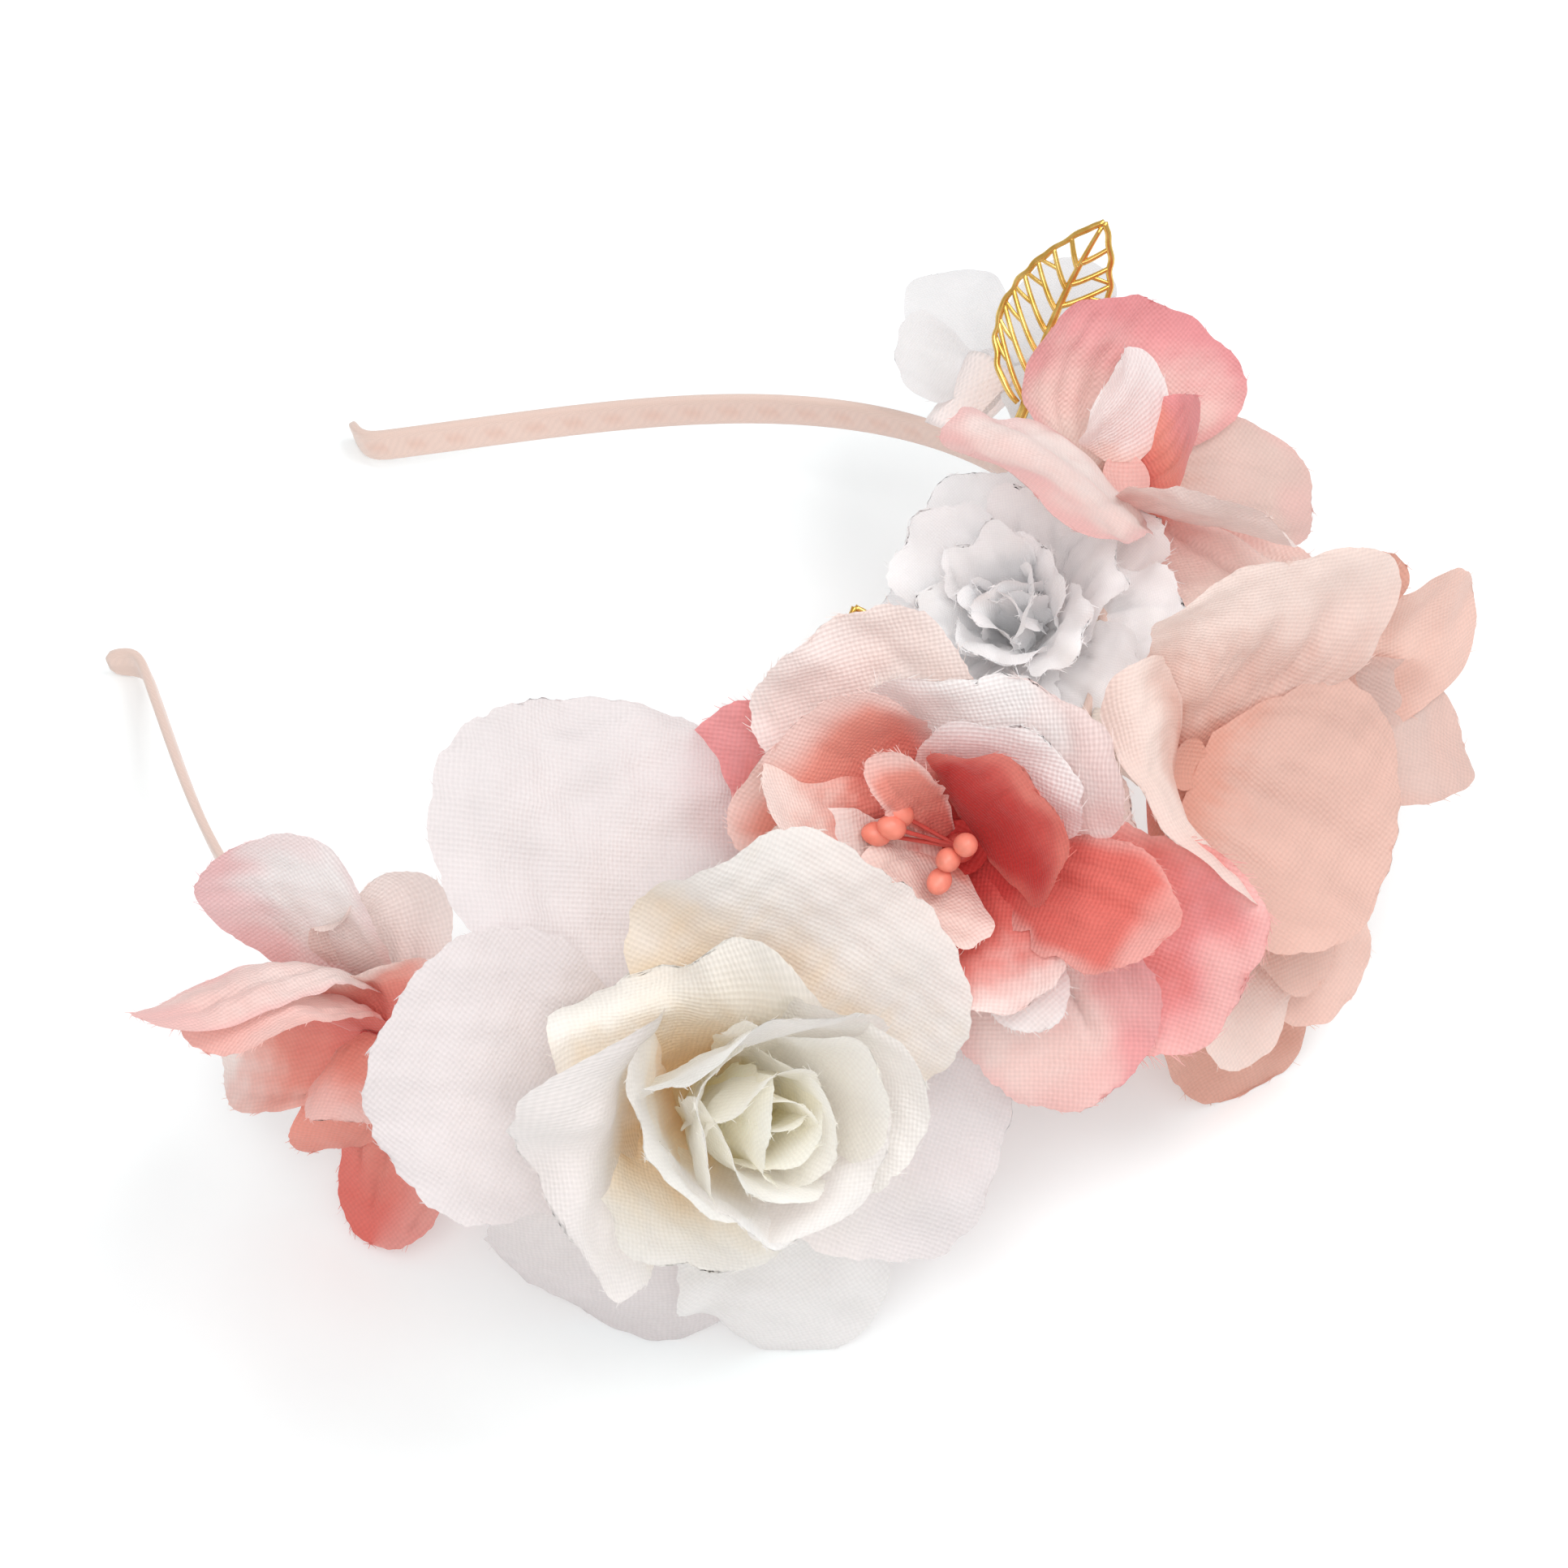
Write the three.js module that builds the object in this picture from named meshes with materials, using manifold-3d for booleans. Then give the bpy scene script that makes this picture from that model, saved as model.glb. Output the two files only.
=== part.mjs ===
// Flower headband: a flat satin-wrapped strip bent to a U, with cloth flowers and
// two pierced metal leaves fixed along one side of the crown.
// Millimetres, +Z up. It lies on the floor as a headband does when put down:
// the two tips and the lowest petals touch Z = 0, the crown points to -Y.
import * as THREE from 'three';
import { mergeVertices } from 'three/addons/utils/BufferGeometryUtils.js';
import Module from 'manifold-3d';

const wasm = await Module();
wasm.setup();

// ---------------------------------------------------------------- sizes
const BAND_LENGTH = 363.8;        // along the strip, tip to tip
const BAND_WIDTH = 4.8;          // flat width of the strip
const BAND_THICKNESS = 1.3;      // strip and its satin cover
const BAND_EDGE = 0.4;           // bevel of the strip's long edges
const CROWN_CURVATURE = 0.01768; // 1/mm at the crown, a 57 mm radius
const ARM_CURVATURE = -0.0047;   // 1/mm along the arms, nearly straight
const CROWN_REACH = 147.7;       // distance over which the crown eases into the arms
const CROWN_EASE = 4.26;         // how sharply it eases
const TIP_FLARE = 0.27;          // 1/mm outward turn near each tip
const TIP_FLARE_LENGTH = 2.2;
const TIP_PAD = 4.6;             // length of strip beyond the turn
const CROWN_TILT = 20.458;       // degrees that the crown is propped above the tips
const CROWN_HEIGHT = 51.28;      // strip centre above the floor at the crown
const BAND_STEPS = 37;           // odd, so one flat facet lies across the crown
const MIDDLE_X = -2.153;         // middle of the whole piece's plan, which becomes the origin
const MIDDLE_Y = 48.335;

const PETAL_THICKNESS = 1.0;     // cloth and its stiffening
const GAP = 0.35;                // clearance between separate pieces
const TIDY = 0.12;               // facets closer than this are joined
const CLAW = 1.6;                // strip that carries a petal set out from its hub
const HUB_DEPTH = 0.9;           // the hub reaches this far below its petals
const BASE_FOOT = 3.6;           // radius of a flower's support at the strip
const BASE_TOP = 4.4;            // and under the flower
const BASE_SIDES = 8;
const LEAF_LENGTH = 27;
const LEAF_WIDTH = 14;
const LEAF_STALK = 8;
const LEAF_THICKNESS = 0.8;
const BEAD_LENGTH = 3.8;
const BEAD_WIDTH = 3.0;
const FILAMENT = 0.5;            // radius of a stamen's thread

// Flowers: place on the strip and aim. s is the distance along the strip from the
// crown, then the shift along it, out from it and up from it, then the axis's swing
// along the strip and its lift from the strip's plane, in degrees.
const FLOWER_COLUMNS = ['name', 's', 'along', 'out', 'rise', 'swing', 'lift'];
const FLOWER_TABLE = [
  ['rose', 42, 7.9, 12.6, 0.2, -29.4, 25.1],
  ['pink', 86, -0.5, 3.1, 0.4, 1.4, 10.4],
  ['coral', 4, 3.7, 1.1, 6.6, 34.6, 42.4],
  ['ruffle', -42, 0.7, -9.5, -1.4, 99.7, 65],
  ['peach', -24, 3.4, 8.2, -4.2, 23.1, 3.9],
  ['blush', -62, -0.8, 7.2, 1.8, 57.7, 41.6],
  ['white', -88, -2.8, 11.1, 3.2, 126.8, 70],
];

// Petal layers, from the floor of each flower up: height on the axis, hub radius, and
// the height where the hub ends.
const LAYER_COLUMNS = ['flower', 'layer', 'node', 'height', 'hub', 'top', 'color'];
const LAYER_TABLE = [
  ['rose', 1, 'rose_outer_petals', 0, 5.5, 2.2, 0xf6f1ef],
  ['rose', 2, 'rose_middle_petals', 3.5, 5.5, 5.7, 0xf7f3ec],
  ['rose', 3, 'rose_inner_petals', 7, 5, 8.7, 0xf8f4df],
  ['rose', 4, 'rose_heart', 10, 4.2, 12, 0xf7f2d2],
  ['pink', 1, 'pink_outer_petals', 0, 4, 0.7, 0xeeb6ae],
  ['pink', 2, 'pink_middle_petals', 2, 3.6, 2.7, 0xeaa196],
  ['pink', 3, 'pink_inner_petals', 4, 3.2, 5.4, 0xe98f83],
  ['coral', 1, 'coral_outer_petals', 0.5, 5, 2.2, 0xefb9ad],
  ['coral', 2, 'coral_middle_petals', 3.5, 4.6, 4.7, 0xe89a90],
  ['coral', 3, 'coral_inner_petals', 6, 4, 6.9, 0xe07f76],
  ['peach', 1, 'peach_outer_petals', 0, 4.6, 1.2, 0xeec3b0],
  ['peach', 2, 'peach_middle_petals', 2.5, 4.4, 3.7, 0xefbfa9],
  ['peach', 3, 'peach_inner_petals', 5, 4, 6.5, 0xf0c2ac],
  ['blush', 1, 'blush_outer_petals', 0.5, 4.4, 2.2, 0xe9a8a3],
  ['blush', 2, 'blush_inner_petals', 3.5, 4, 5, 0xefbcb2],
  ['white', 1, 'white_petals', 0, 3.6, 1.5, 0xf3f2f4],
  ['ruffle', 1, 'ruffle_outer_petals', 0, 4.4, 0.7, 0xf5f3f5],
  ['ruffle', 2, 'ruffle_middle_petals', 2, 4, 2.7, 0xf6f4f6],
  ['ruffle', 3, 'ruffle_inner_petals', 4, 3.6, 5.4, 0xf7f5f7],
];

// Petals, one row each. Angles in degrees: az turns round the flower's axis, open is
// the angle from the axis at the root, bend is added evenly to the tip, curl over the
// outer part, cup bends the petal across, roll twists it, skew sweeps it sideways.
// len and wid are the flat size, peak is where it is widest, blunt shapes the tip, lop
// is one half's share of the width, and start is how far from the axis it begins.
const PETAL_COLUMNS = ['flower', 'layer', 'az', 'open', 'bend', 'curl', 'cup', 'roll', 'skew', 'len', 'wid', 'peak', 'blunt', 'lop', 'start'];
const PETAL_TABLE = [
  ['rose', 1, 347, 97, 4, 24, 11, 13, -14, 48.4, 44, 0.66, 2.39, 1, 2.5],
  ['rose', 1, 50, 83, 1, 15, 18, 3, -6, 38.9, 35.7, 0.57, 2.16, 1, 2.5],
  ['rose', 1, 145, 128, 15, 26, -9, 23, 9, 47.1, 34.5, 0.58, 2.57, 1, 2.5],
  ['rose', 1, 188, 105, 23, 15, 1, 44, -9, 49.6, 26, 0.61, 2.04, 1, 2.5],
  ['rose', 1, 233, 84, -3, 7, 14, 5, 5, 40.2, 40.9, 0.63, 2.16, 1, 2.5],
  ['rose', 2, 299, 55, -2, 26, 17, 6, -9, 36.8, 47.3, 0.55, 1.9, 1, 3],
  ['rose', 2, 64.9, 50, -7.3, 85, 40.9, -25, 13.2, 29.4, 37.3, 0.63, 2.27, 1, 3],
  ['rose', 2, 357.7, 36, 11.5, 62.8, 31.5, -42, -21.9, 22.5, 36.1, 0.65, 2.39, 1, 3],
  ['rose', 2, 128, 48, -12, 7, 38, 18, -3, 24.3, 26.8, 0.59, 2.08, 1, 3],
  ['rose', 2, 253, 30, -13, 7, 41, 0, 0, 34.1, 26.3, 0.62, 2.29, 1, 3],
  ['rose', 3, 79, 33, -14, 26, 47, 17, -14, 26, 27.4, 0.62, 2.28, 1, 3],
  ['rose', 3, 335, 26, -21, 18, 30, 4, -2, 32.4, 30.4, 0.63, 2.38, 1, 3],
  ['rose', 3, 205, 24, -12, 8, 48, 0, 0, 29, 26, 0.62, 2.3, 1, 3],
  ['rose', 3, 270, 22, -12, 8, 50, 0, 0, 30, 24, 0.62, 2.3, 1, 3],
  ['rose', 3, 140, 27, -13, 16, 50, 0, 0, 26, 26, 0.62, 2.3, 1, 3],
  ['rose', 4, 120, 17, -14, 12, 62, 0, 0, 25, 22, 0.62, 2.3, 1, 3],
  ['rose', 4, 350, 14, -16, 10, 62, 0, 0, 25, 22, 0.62, 2.3, 1, 3],
  ['rose', 4, 245, 12, -16, 8, 60, 0, 0, 25, 20, 0.62, 2.3, 1, 3],
  ['rose', 4, 60, 9, -14, 0, 75, 0, 0, 25.5, 16, 0.62, 2.3, 1, 3],
  ['rose', 4, 205, 5, -10, 4, 70, 0, 0, 24.5, 15, 0.62, 2.3, 1, 3],
  ['rose', 4, 300, 4, -10, 2, 75, 0, 0, 24, 13, 0.62, 2.3, 1, 3],
  ['rose', 4, 155, -3, -8, 0, 75, 0, 0, 24, 12, 0.62, 2.3, 1, 3],
  ['rose', 4, 42, 23.5, -12, 12, 52, 0, 0, 25, 22, 0.62, 2.3, 1, 3],
  ['pink', 1, 21, 73, 2, -6, 17, 22, -13, 32.4, 22.8, 0.67, 2.43, 1, 2.2],
  ['pink', 1, 358, 83, 20, -46, 17, 62, -14, 22.5, 18.1, 0.68, 2.44, 1, 2.2],
  ['pink', 1, 354, 73, -96, 43, 31, 12, 11, 47.7, 11.8, 0.7, 2.54, 1, 2.2],
  ['pink', 1, 165.7, 93, -21.7, -19.3, 13.1, -8.9, 2.2, 32.8, 16.2, 0.59, 2.15, 1, 2.2],
  ['pink', 2, 1.1, 54.4, -37.7, -40, 11, -0.4, -7.7, 37.5, 16.7, 0.63, 2.38, 1, 2.2],
  ['pink', 2, 105.5, 69, 14.3, 34.7, 28.4, 24.3, -4.7, 27.2, 16.1, 0.63, 2.4, 1, 2.2],
  ['pink', 2, 149.2, 79, 1.6, 16.9, 0.4, -45.6, -11.7, 25.1, 10.6, 0.6, 2.04, 1, 2.2],
  ['pink', 3, 18.3, 65.2, -22.2, 8.8, -21.7, 23.5, -41.7, 16.3, 28.8, 0.63, 2.4, 1, 2.2],
  ['pink', 3, 350.4, -11.1, -6.3, 24.2, 65, -8.1, -35, 14.3, 11.2, 0.6, 2.24, 1, 2.2],
  ['coral', 1, 11, 72, -13, -3, 15, -12, 10, 32.8, 27.2, 0.62, 2.33, 1, 2.2],
  ['coral', 1, 311, 50, -5, 21, 22, -3, 19, 24.2, 35.2, 0.61, 2.16, 1, 2.2],
  ['coral', 1, 42, 56, -20, 12, 26, -25, 0, 31, 27, 0.73, 2.57, 1, 2.2],
  ['coral', 1, 193, 85, 10, 4, 12, 6, -4, 33, 25.1, 0.61, 2.17, 1, 2.2],
  ['coral', 1, 223, 98, -6, -8, 5, 8, 6, 37, 27, 0.67, 2.51, 1, 2.2],
  ['coral', 1, 128, 96, 8, 0, 12, 0, 0, 27, 24, 0.62, 2.3, 1, 2.2],
  ['coral', 1, 262, 104, 0, 0, 14, 0, 0, 20, 18, 0.62, 2.3, 1, 2.2],
  ['coral', 1, 54, 84, -2, 2, 14, -6, 0, 34, 21, 0.65, 2.5, 1, 2.2],
  ['coral', 2, 308, 42, -8, 28, 22, 12, 0, 20.5, 22, 0.61, 2.05, 1, 2.2],
  ['coral', 2, 230, 60, -8, 4, 6, -20, -6, 30, 16.5, 0.62, 2.6, 1, 2.2],
  ['coral', 2, 180, 60, -4, 0, 14, 0, 6, 21.5, 19, 0.66, 2.8, 1, 2.2],
  ['coral', 2, 186, 74, -1, -1, 12, 0, 2, 23.4, 10.9, 0.62, 2.27, 1, 2.2],
  ['coral', 2, 64, 54, -12, 4, 28, 36, -16, 30, 16, 0.67, 2.43, 1, 2.2],
  ['coral', 3, 84, 50, -10, 4, 22, 24, -10, 28, 15, 0.67, 2.51, 1, 2.2],
  ['coral', 3, 285, 28, 2, 6, 38, 10, 0, 19, 24, 0.58, 2.09, 1, 2.2],
  ['coral', 3, 24, 37, -11, 33, 24, -22, -3, 20.6, 7.4, 0.6, 2.6, 1, 2.2],
  ['coral', 3, 126, 40, -8, -6, 16, 0, 0, 15, 18, 0.61, 2.36, 1, 2.2],
  ['peach', 1, 250, 71, 7, 7, 19, 7, 12, 49.3, 11.1, 0.64, 2.31, 1, 2.2],
  ['peach', 1, 245, 68, 5, 9, 20, -32, -21, 46, 20, 0.65, 2.46, 1, 2.2],
  ['peach', 1, 282, 66, -4, 2, 12, 9, -4, 37.8, 14.6, 0.62, 2.22, 1, 2.2],
  ['peach', 1, 186, 72, 3, 1, 14, 4, -1, 43.1, 21.5, 0.64, 2.25, 1, 2.2],
  ['peach', 1, 174, 86, 4, 7, 10, 28, -5, 52.9, 22.2, 0.63, 2.34, 1, 2.2],
  ['peach', 2, 162, 75, 4, 2, 17, 3, -2, 40.2, 18, 0.63, 2.33, 1, 2.2],
  ['peach', 2, 180, 66, 8, 4, 17, -6, 0, 35.2, 14.6, 0.62, 2.34, 1, 2.2],
  ['peach', 2, 297, 60, 0, 6, 9, 0, 44, 30.5, 38, 0.71, 2.36, 1, 2.2],
  ['peach', 3, 207, 51, 6, 4, 20, -15, 7, 28, 37, 0.55, 2.19, 1, 2.2],
  ['peach', 3, 53, 50, -2, 38, 18, 49, 17, 19.4, 36.4, 0.61, 2.31, 1, 2.2],
  ['blush', 1, 316, 59, -4, -2, 18, 6, -14, 22.7, 34.7, 0.52, 2.06, 1, 2.2],
  ['blush', 1, 226, 81, 11, -1, 27, -12, -14, 26, 20.2, 0.56, 2.38, 1, 2.2],
  ['blush', 1, 162, 58, -17, -21, 2, -1, -2, 28.6, 21.7, 0.69, 2.4, 1, 2.2],
  ['blush', 1, 239.7, 31, -14.7, 7.9, 25, -40.8, 43.4, 15.6, 14.2, 0.63, 2.3, 1, 2.2],
  ['blush', 2, 83.5, 31.2, 30.7, 1.8, -5.8, 27.4, -20.4, 38, 40, 0.68, 3, 0.47, 2.2],
  ['blush', 2, 317.8, 51.5, -8, -5.5, 0.3, 46.6, 29.5, 15.3, 17, 0.45, 1.8, 1, 2.2],
  ['blush', 2, 139, 35, -12, -10, 25, -27, 16, 29.3, 21.6, 0.63, 2.41, 1, 2.2],
  ['white', 1, 12, 84, 8, 3, 9, 17, -5, 15.1, 14.2, 0.61, 2.25, 1, 2.2],
  ['white', 1, 76, 60, -11, -2, 14, 8, -2, 11.7, 14.6, 0.62, 2.33, 1, 2.2],
  ['white', 1, 296, 81, 10, 4, 11, -13, 0, 18.1, 13.7, 0.61, 2.25, 1, 2.2],
  ['white', 1, 222, 78, 0, 0, 14, 0, 0, 15, 14, 0.62, 2.3, 1, 2.2],
];

// The gathered white flower is three rings of alike petals.
const RUFFLE_COLUMNS = ['layer', 'count', 'first', 'open', 'len', 'wid'];
const RUFFLE_TABLE = [
  [1, 6, 22, 76, 20.5, 18],
  [2, 6, 46, 52, 18.5, 15.5],
  [3, 5, 20, 26, 14.5, 12.5],
];

// Leaves: place along the strip, shift out and up, then the leaf's aim (heading round Z
// and climb), and how far it is turned about its own midrib.
const LEAF_COLUMNS = ['node', 's', 'along', 'out', 'rise', 'heading', 'climb', 'turn'];
const LEAF_TABLE = [
  ['gold_leaf_back', -76, -2.9, 5.4, 6.3, 6.9, 43.7, -160.1],
  ['gold_leaf_front', -8, 10.4, -6.4, 7.5, 68.9, 33, 165.8],
];

// Stamens: aim of each thread from the flower's axis and its length.
const STAMEN_COLUMNS = ['az', 'open', 'len'];
const STAMEN_TABLE = [
  [62, 64, 11.3],
  [55, 55, 10.4],
  [42, 59, 9.7],
  [121, 19, 6.4],
  [267, 7, 7],
  [131, 41, 7.4],
];

// ---------------------------------------------------------------- helpers
const rad = THREE.MathUtils.degToRad;
const V = (x = 0, y = 0, z = 0) => new THREE.Vector3(x, y, z);
const named = (columns, row) => Object.fromEntries(columns.map((c, i) => [c, row[i]]));
const smooth = (x) => { const u = Math.min(1, Math.max(0, x)); return u * u * (3 - 2 * u); };
const mix = (a, b, u) => a.clone().multiplyScalar(1 - u).addScaledVector(b, u);

// closed solid from an indexed or plain BufferGeometry
function solid(geometry) {
  const g = geometry.clone();
  g.deleteAttribute('normal');
  g.deleteAttribute('uv');
  const m = mergeVertices(g, 1e-4);
  return new wasm.Manifold(new wasm.Mesh({
    numProp: 3,
    vertProperties: new Float32Array(m.attributes.position.array),
    triVerts: new Uint32Array(m.index.array),
  }));
}

function fromLists(points, triangles) {
  const g = new THREE.BufferGeometry();
  const xyz = new Float32Array(points.length * 3);
  points.forEach((p, i) => xyz.set([p.x, p.y, p.z], 3 * i));
  g.setAttribute('position', new THREE.BufferAttribute(xyz, 3));
  g.setIndex(triangles);
  return g;
}

// geometry of the largest connected body of a solid
function largestBody(manifold) {
  const mesh = manifold.getMesh();
  const n = mesh.vertProperties.length / mesh.numProp;
  const parent = Array.from({ length: n }, (_, i) => i);
  const root = (i) => { while (parent[i] !== i) { parent[i] = parent[parent[i]]; i = parent[i]; } return i; };
  const join = (a, b) => { parent[root(a)] = root(b); };
  if (mesh.mergeFromVert) mesh.mergeFromVert.forEach((v, i) => join(v, mesh.mergeToVert[i]));
  const tri = mesh.triVerts;
  for (let i = 0; i < tri.length; i += 3) { join(tri[i], tri[i + 1]); join(tri[i], tri[i + 2]); }
  const P = (i) => V(...mesh.vertProperties.slice(i * mesh.numProp, i * mesh.numProp + 3));
  const volume = new Map();
  for (let i = 0; i < tri.length; i += 3) {
    const r = root(tri[i]);
    const v = P(tri[i]).dot(P(tri[i + 1]).cross(P(tri[i + 2]))) / 6;
    volume.set(r, (volume.get(r) || 0) + v);
  }
  const best = [...volume.entries()].sort((a, b) => b[1] - a[1])[0][0];
  const points = [];
  const place = new Map();
  const index = [];
  for (let i = 0; i < tri.length; i += 3) {
    if (root(tri[i]) !== best) continue;
    for (let k = 0; k < 3; k++) {
      const v = tri[i + k];
      if (!place.has(v)) { place.set(v, points.length); points.push(P(v)); }
      index.push(place.get(v));
    }
  }
  const g = mergeVertices(fromLists(points, index), 1e-5);
  const p = g.attributes.position;
  return tidy(Array.from({ length: p.count }, (_, i) => V().fromBufferAttribute(p, i)), Array.from(g.index.array));
}

// Joins the short edges that cutting leaves: a vertex slides to a neighbour while every
// face that met at it stays within TIDY of the new surface.
function tidy(points, index) {
  const faces = [];
  const around = points.map(() => new Set());
  for (let i = 0; i < index.length; i += 3) {
    const f = faces.push([index[i], index[i + 1], index[i + 2]]) - 1;
    faces[f].forEach((v) => around[v].add(f));
  }
  const cross = (a, b, c) => b.clone().sub(a).cross(c.clone().sub(a));
  const corner = (f) => f.map((v) => points[v]);
  const planes = points.map(() => []);
  faces.forEach((f) => {
    const n = cross(...corner(f));
    if (n.length() < 1e-7) return;
    n.normalize();
    const d = n.dot(points[f[0]]);
    f.forEach((v) => planes[v].push([n, d]));
  });
  const neighbours = (v) => {
    const out = new Set();
    around[v].forEach((f) => faces[f].forEach((w) => { if (w !== v) out.add(w); }));
    return out;
  };
  const height = (n, a, b, c) => n.length() / Math.max(a.distanceTo(b), b.distanceTo(c), c.distanceTo(a), 1e-9);
  const fits = (u, v) => {
    for (const f of around[u]) {
      if (faces[f].includes(v)) continue;
      const before = corner(faces[f]), after = faces[f].map((w) => points[w === u ? v : w]);
      const n0 = cross(...before), n1 = cross(...after);
      const h0 = height(n0, ...before), h1 = height(n1, ...after);
      if (h1 < Math.min(0.05, h0)) return false;
      if (h0 > 0.02 && n0.normalize().dot(n1.clone().normalize()) < 0.6) return false;
    }
    return true;
  };
  for (let pass = 0, moved = 1; pass < 12 && moved; pass++) {
    moved = 0;
    for (let u = 0; u < points.length; u++) {
      if (!around[u].size) continue;
      const near = neighbours(u);
      const tries = [];
      for (const v of near) {
        let worst = 0;
        for (const [n, d] of planes[u]) worst = Math.max(worst, Math.abs(n.dot(points[v]) - d));
        if (worst < TIDY) tries.push([worst + 0.002 * points[u].distanceTo(points[v]), v]);
      }
      tries.sort((a, b) => a[0] - b[0]);
      for (const [, v] of tries) {
        const shared = [...neighbours(v)].filter((w) => near.has(w));
        if (shared.length !== 2 || !fits(u, v)) continue;
        for (const f of [...around[u]]) {
          if (faces[f].includes(v)) { faces[f].forEach((w) => around[w].delete(f)); faces[f] = null; continue; }
          faces[f] = faces[f].map((w) => (w === u ? v : w));
          around[v].add(f);
        }
        around[u].clear();
        planes[v].push(...planes[u]);
        moved++;
        break;
      }
    }
  }
  const kept = faces.filter(Boolean), at = new Map(), out = [];
  const tri = kept.flatMap((f) => f.map((v) => {
    if (!at.has(v)) { at.set(v, out.length); out.push(points[v]); }
    return at.get(v);
  }));
  return fromLists(out, tri);
}

// ---------------------------------------------------------------- the strip's route
const ROUTE = (() => {
  const n = 1429, s = [], k = [], mid = (n - 1) / 2, ds = BAND_LENGTH / (n - 1);
  for (let i = 0; i < n; i++) {
    s[i] = -BAND_LENGTH / 2 + i * ds;
    const a = Math.abs(s[i]);
    k[i] = ARM_CURVATURE + (CROWN_CURVATURE - ARM_CURVATURE) * Math.exp(-((a / CROWN_REACH) ** CROWN_EASE))
      - TIP_FLARE * Math.exp(-(((BAND_LENGTH / 2 - a - TIP_PAD) / TIP_FLARE_LENGTH) ** 2));
  }
  const run = (f) => {
    const o = new Array(n).fill(0);
    for (let i = mid + 1; i < n; i++) o[i] = o[i - 1] + (f[i] + f[i - 1]) / 2 * ds;
    for (let i = mid - 1; i >= 0; i--) o[i] = o[i + 1] - (f[i] + f[i + 1]) / 2 * ds;
    return o;
  };
  const th = run(k);
  const du = th.map(Math.cos), dv = th.map((t) => -Math.sin(t));
  return { s, ds, du, dv, u: run(du), v: run(dv) };
})();
const TILT = rad(CROWN_TILT);
const UP = V(0, Math.sin(TILT), Math.cos(TILT));   // across the strip's flat width

function bandFrame(s) {
  const f = (s + BAND_LENGTH / 2) / ROUTE.ds;
  const i = Math.min(ROUTE.s.length - 2, Math.max(0, Math.floor(f)));
  const w = f - i;
  const at = (a) => a[i] * (1 - w) + a[i + 1] * w;
  const c = V(-at(ROUTE.u), -at(ROUTE.v) * Math.cos(TILT), CROWN_HEIGHT + at(ROUTE.v) * Math.sin(TILT));
  const t = V(-at(ROUTE.du), -at(ROUTE.dv) * Math.cos(TILT), at(ROUTE.dv) * Math.sin(TILT)).normalize();
  const o = UP.clone().cross(t).normalize();
  return { c, t, o };
}

function bandGeometry(margin = 0) {
  const w = BAND_WIDTH / 2 + margin, h = BAND_THICKNESS / 2 + margin, e = BAND_EDGE;
  const outline = [[-h, -w + e], [-h + e, -w], [h - e, -w], [h, -w + e], [h, w - e], [h - e, w], [-h + e, w], [-h, w - e]];
  const pts = [], tri = [], m = outline.length;
  for (let i = 0; i <= BAND_STEPS; i++) {
    const x = -1 + 2 * i / BAND_STEPS;
    const s = BAND_LENGTH / 2 * x * (1.3 - 0.3 * x * x);   // shorter steps toward the tips
    const { c, t, o } = bandFrame(s);
    const past = i === 0 ? -margin : i === BAND_STEPS ? margin : 0;
    const tip = smooth(1 - (BAND_LENGTH / 2 - Math.abs(s)) / 6);
    const slim = 1 - 0.12 * tip;
    for (const [a, b] of outline) {
      const p = c.clone().addScaledVector(o, a).addScaledVector(UP, b * slim).addScaledVector(t, past);
      p.z = Math.max(p.z, 0);
      pts.push(p);
    }
  }
  for (let i = 0; i < BAND_STEPS; i++) for (let j = 0; j < m; j++) {
    const a = i * m + j, b = i * m + (j + 1) % m, c = a + m, d = b + m;
    tri.push(a, c, d, a, d, b);
  }
  for (let j = 1; j < m - 1; j++) {
    tri.push(0, j, j + 1);
    const q = BAND_STEPS * m;
    tri.push(q, q + j + 1, q + j);
  }
  return fromLists(pts, orient(pts, tri));
}

// turns a closed triangle list so that its faces point out
function orient(pts, tri) {
  let vol = 0;
  for (let i = 0; i < tri.length; i += 3) vol += pts[tri[i]].dot(pts[tri[i + 1]].clone().cross(pts[tri[i + 2]]));
  if (vol < 0) for (let i = 0; i < tri.length; i += 3) [tri[i + 1], tri[i + 2]] = [tri[i + 2], tri[i + 1]];
  return tri;
}

// ---------------------------------------------------------------- flowers
const FLOWERS = Object.fromEntries(FLOWER_TABLE.map((row) => {
  const f = named(FLOWER_COLUMNS, row);
  const { c, t, o } = bandFrame(f.s);
  const origin = c.clone().addScaledVector(o, f.out).addScaledVector(UP, f.rise).addScaledVector(t, f.along);
  const sw = rad(f.swing), li = rad(f.lift);
  const axis = o.clone().multiplyScalar(Math.cos(li) * Math.cos(sw))
    .addScaledVector(t, Math.cos(li) * Math.sin(sw)).addScaledVector(UP, Math.sin(li)).normalize();
  const x = UP.clone().addScaledVector(axis, -UP.dot(axis)).normalize();
  const y = axis.clone().cross(x);
  return [f.name, { ...f, origin, axis, x, y }];
}));

const NECK = 0.24;         // root width as a share of the petal's width
const CURL_FROM = 0.62;    // where the tip's curl begins
function widthShare(s, peak, blunt) {
  if (s < peak) return NECK + (1 - NECK) * Math.sin(Math.PI / 2 * Math.max(0, s) / peak);
  return Math.max(0.12, (1 - Math.min(1, (s - peak) / (1 - peak)) ** blunt) ** (1 / blunt));
}

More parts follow.
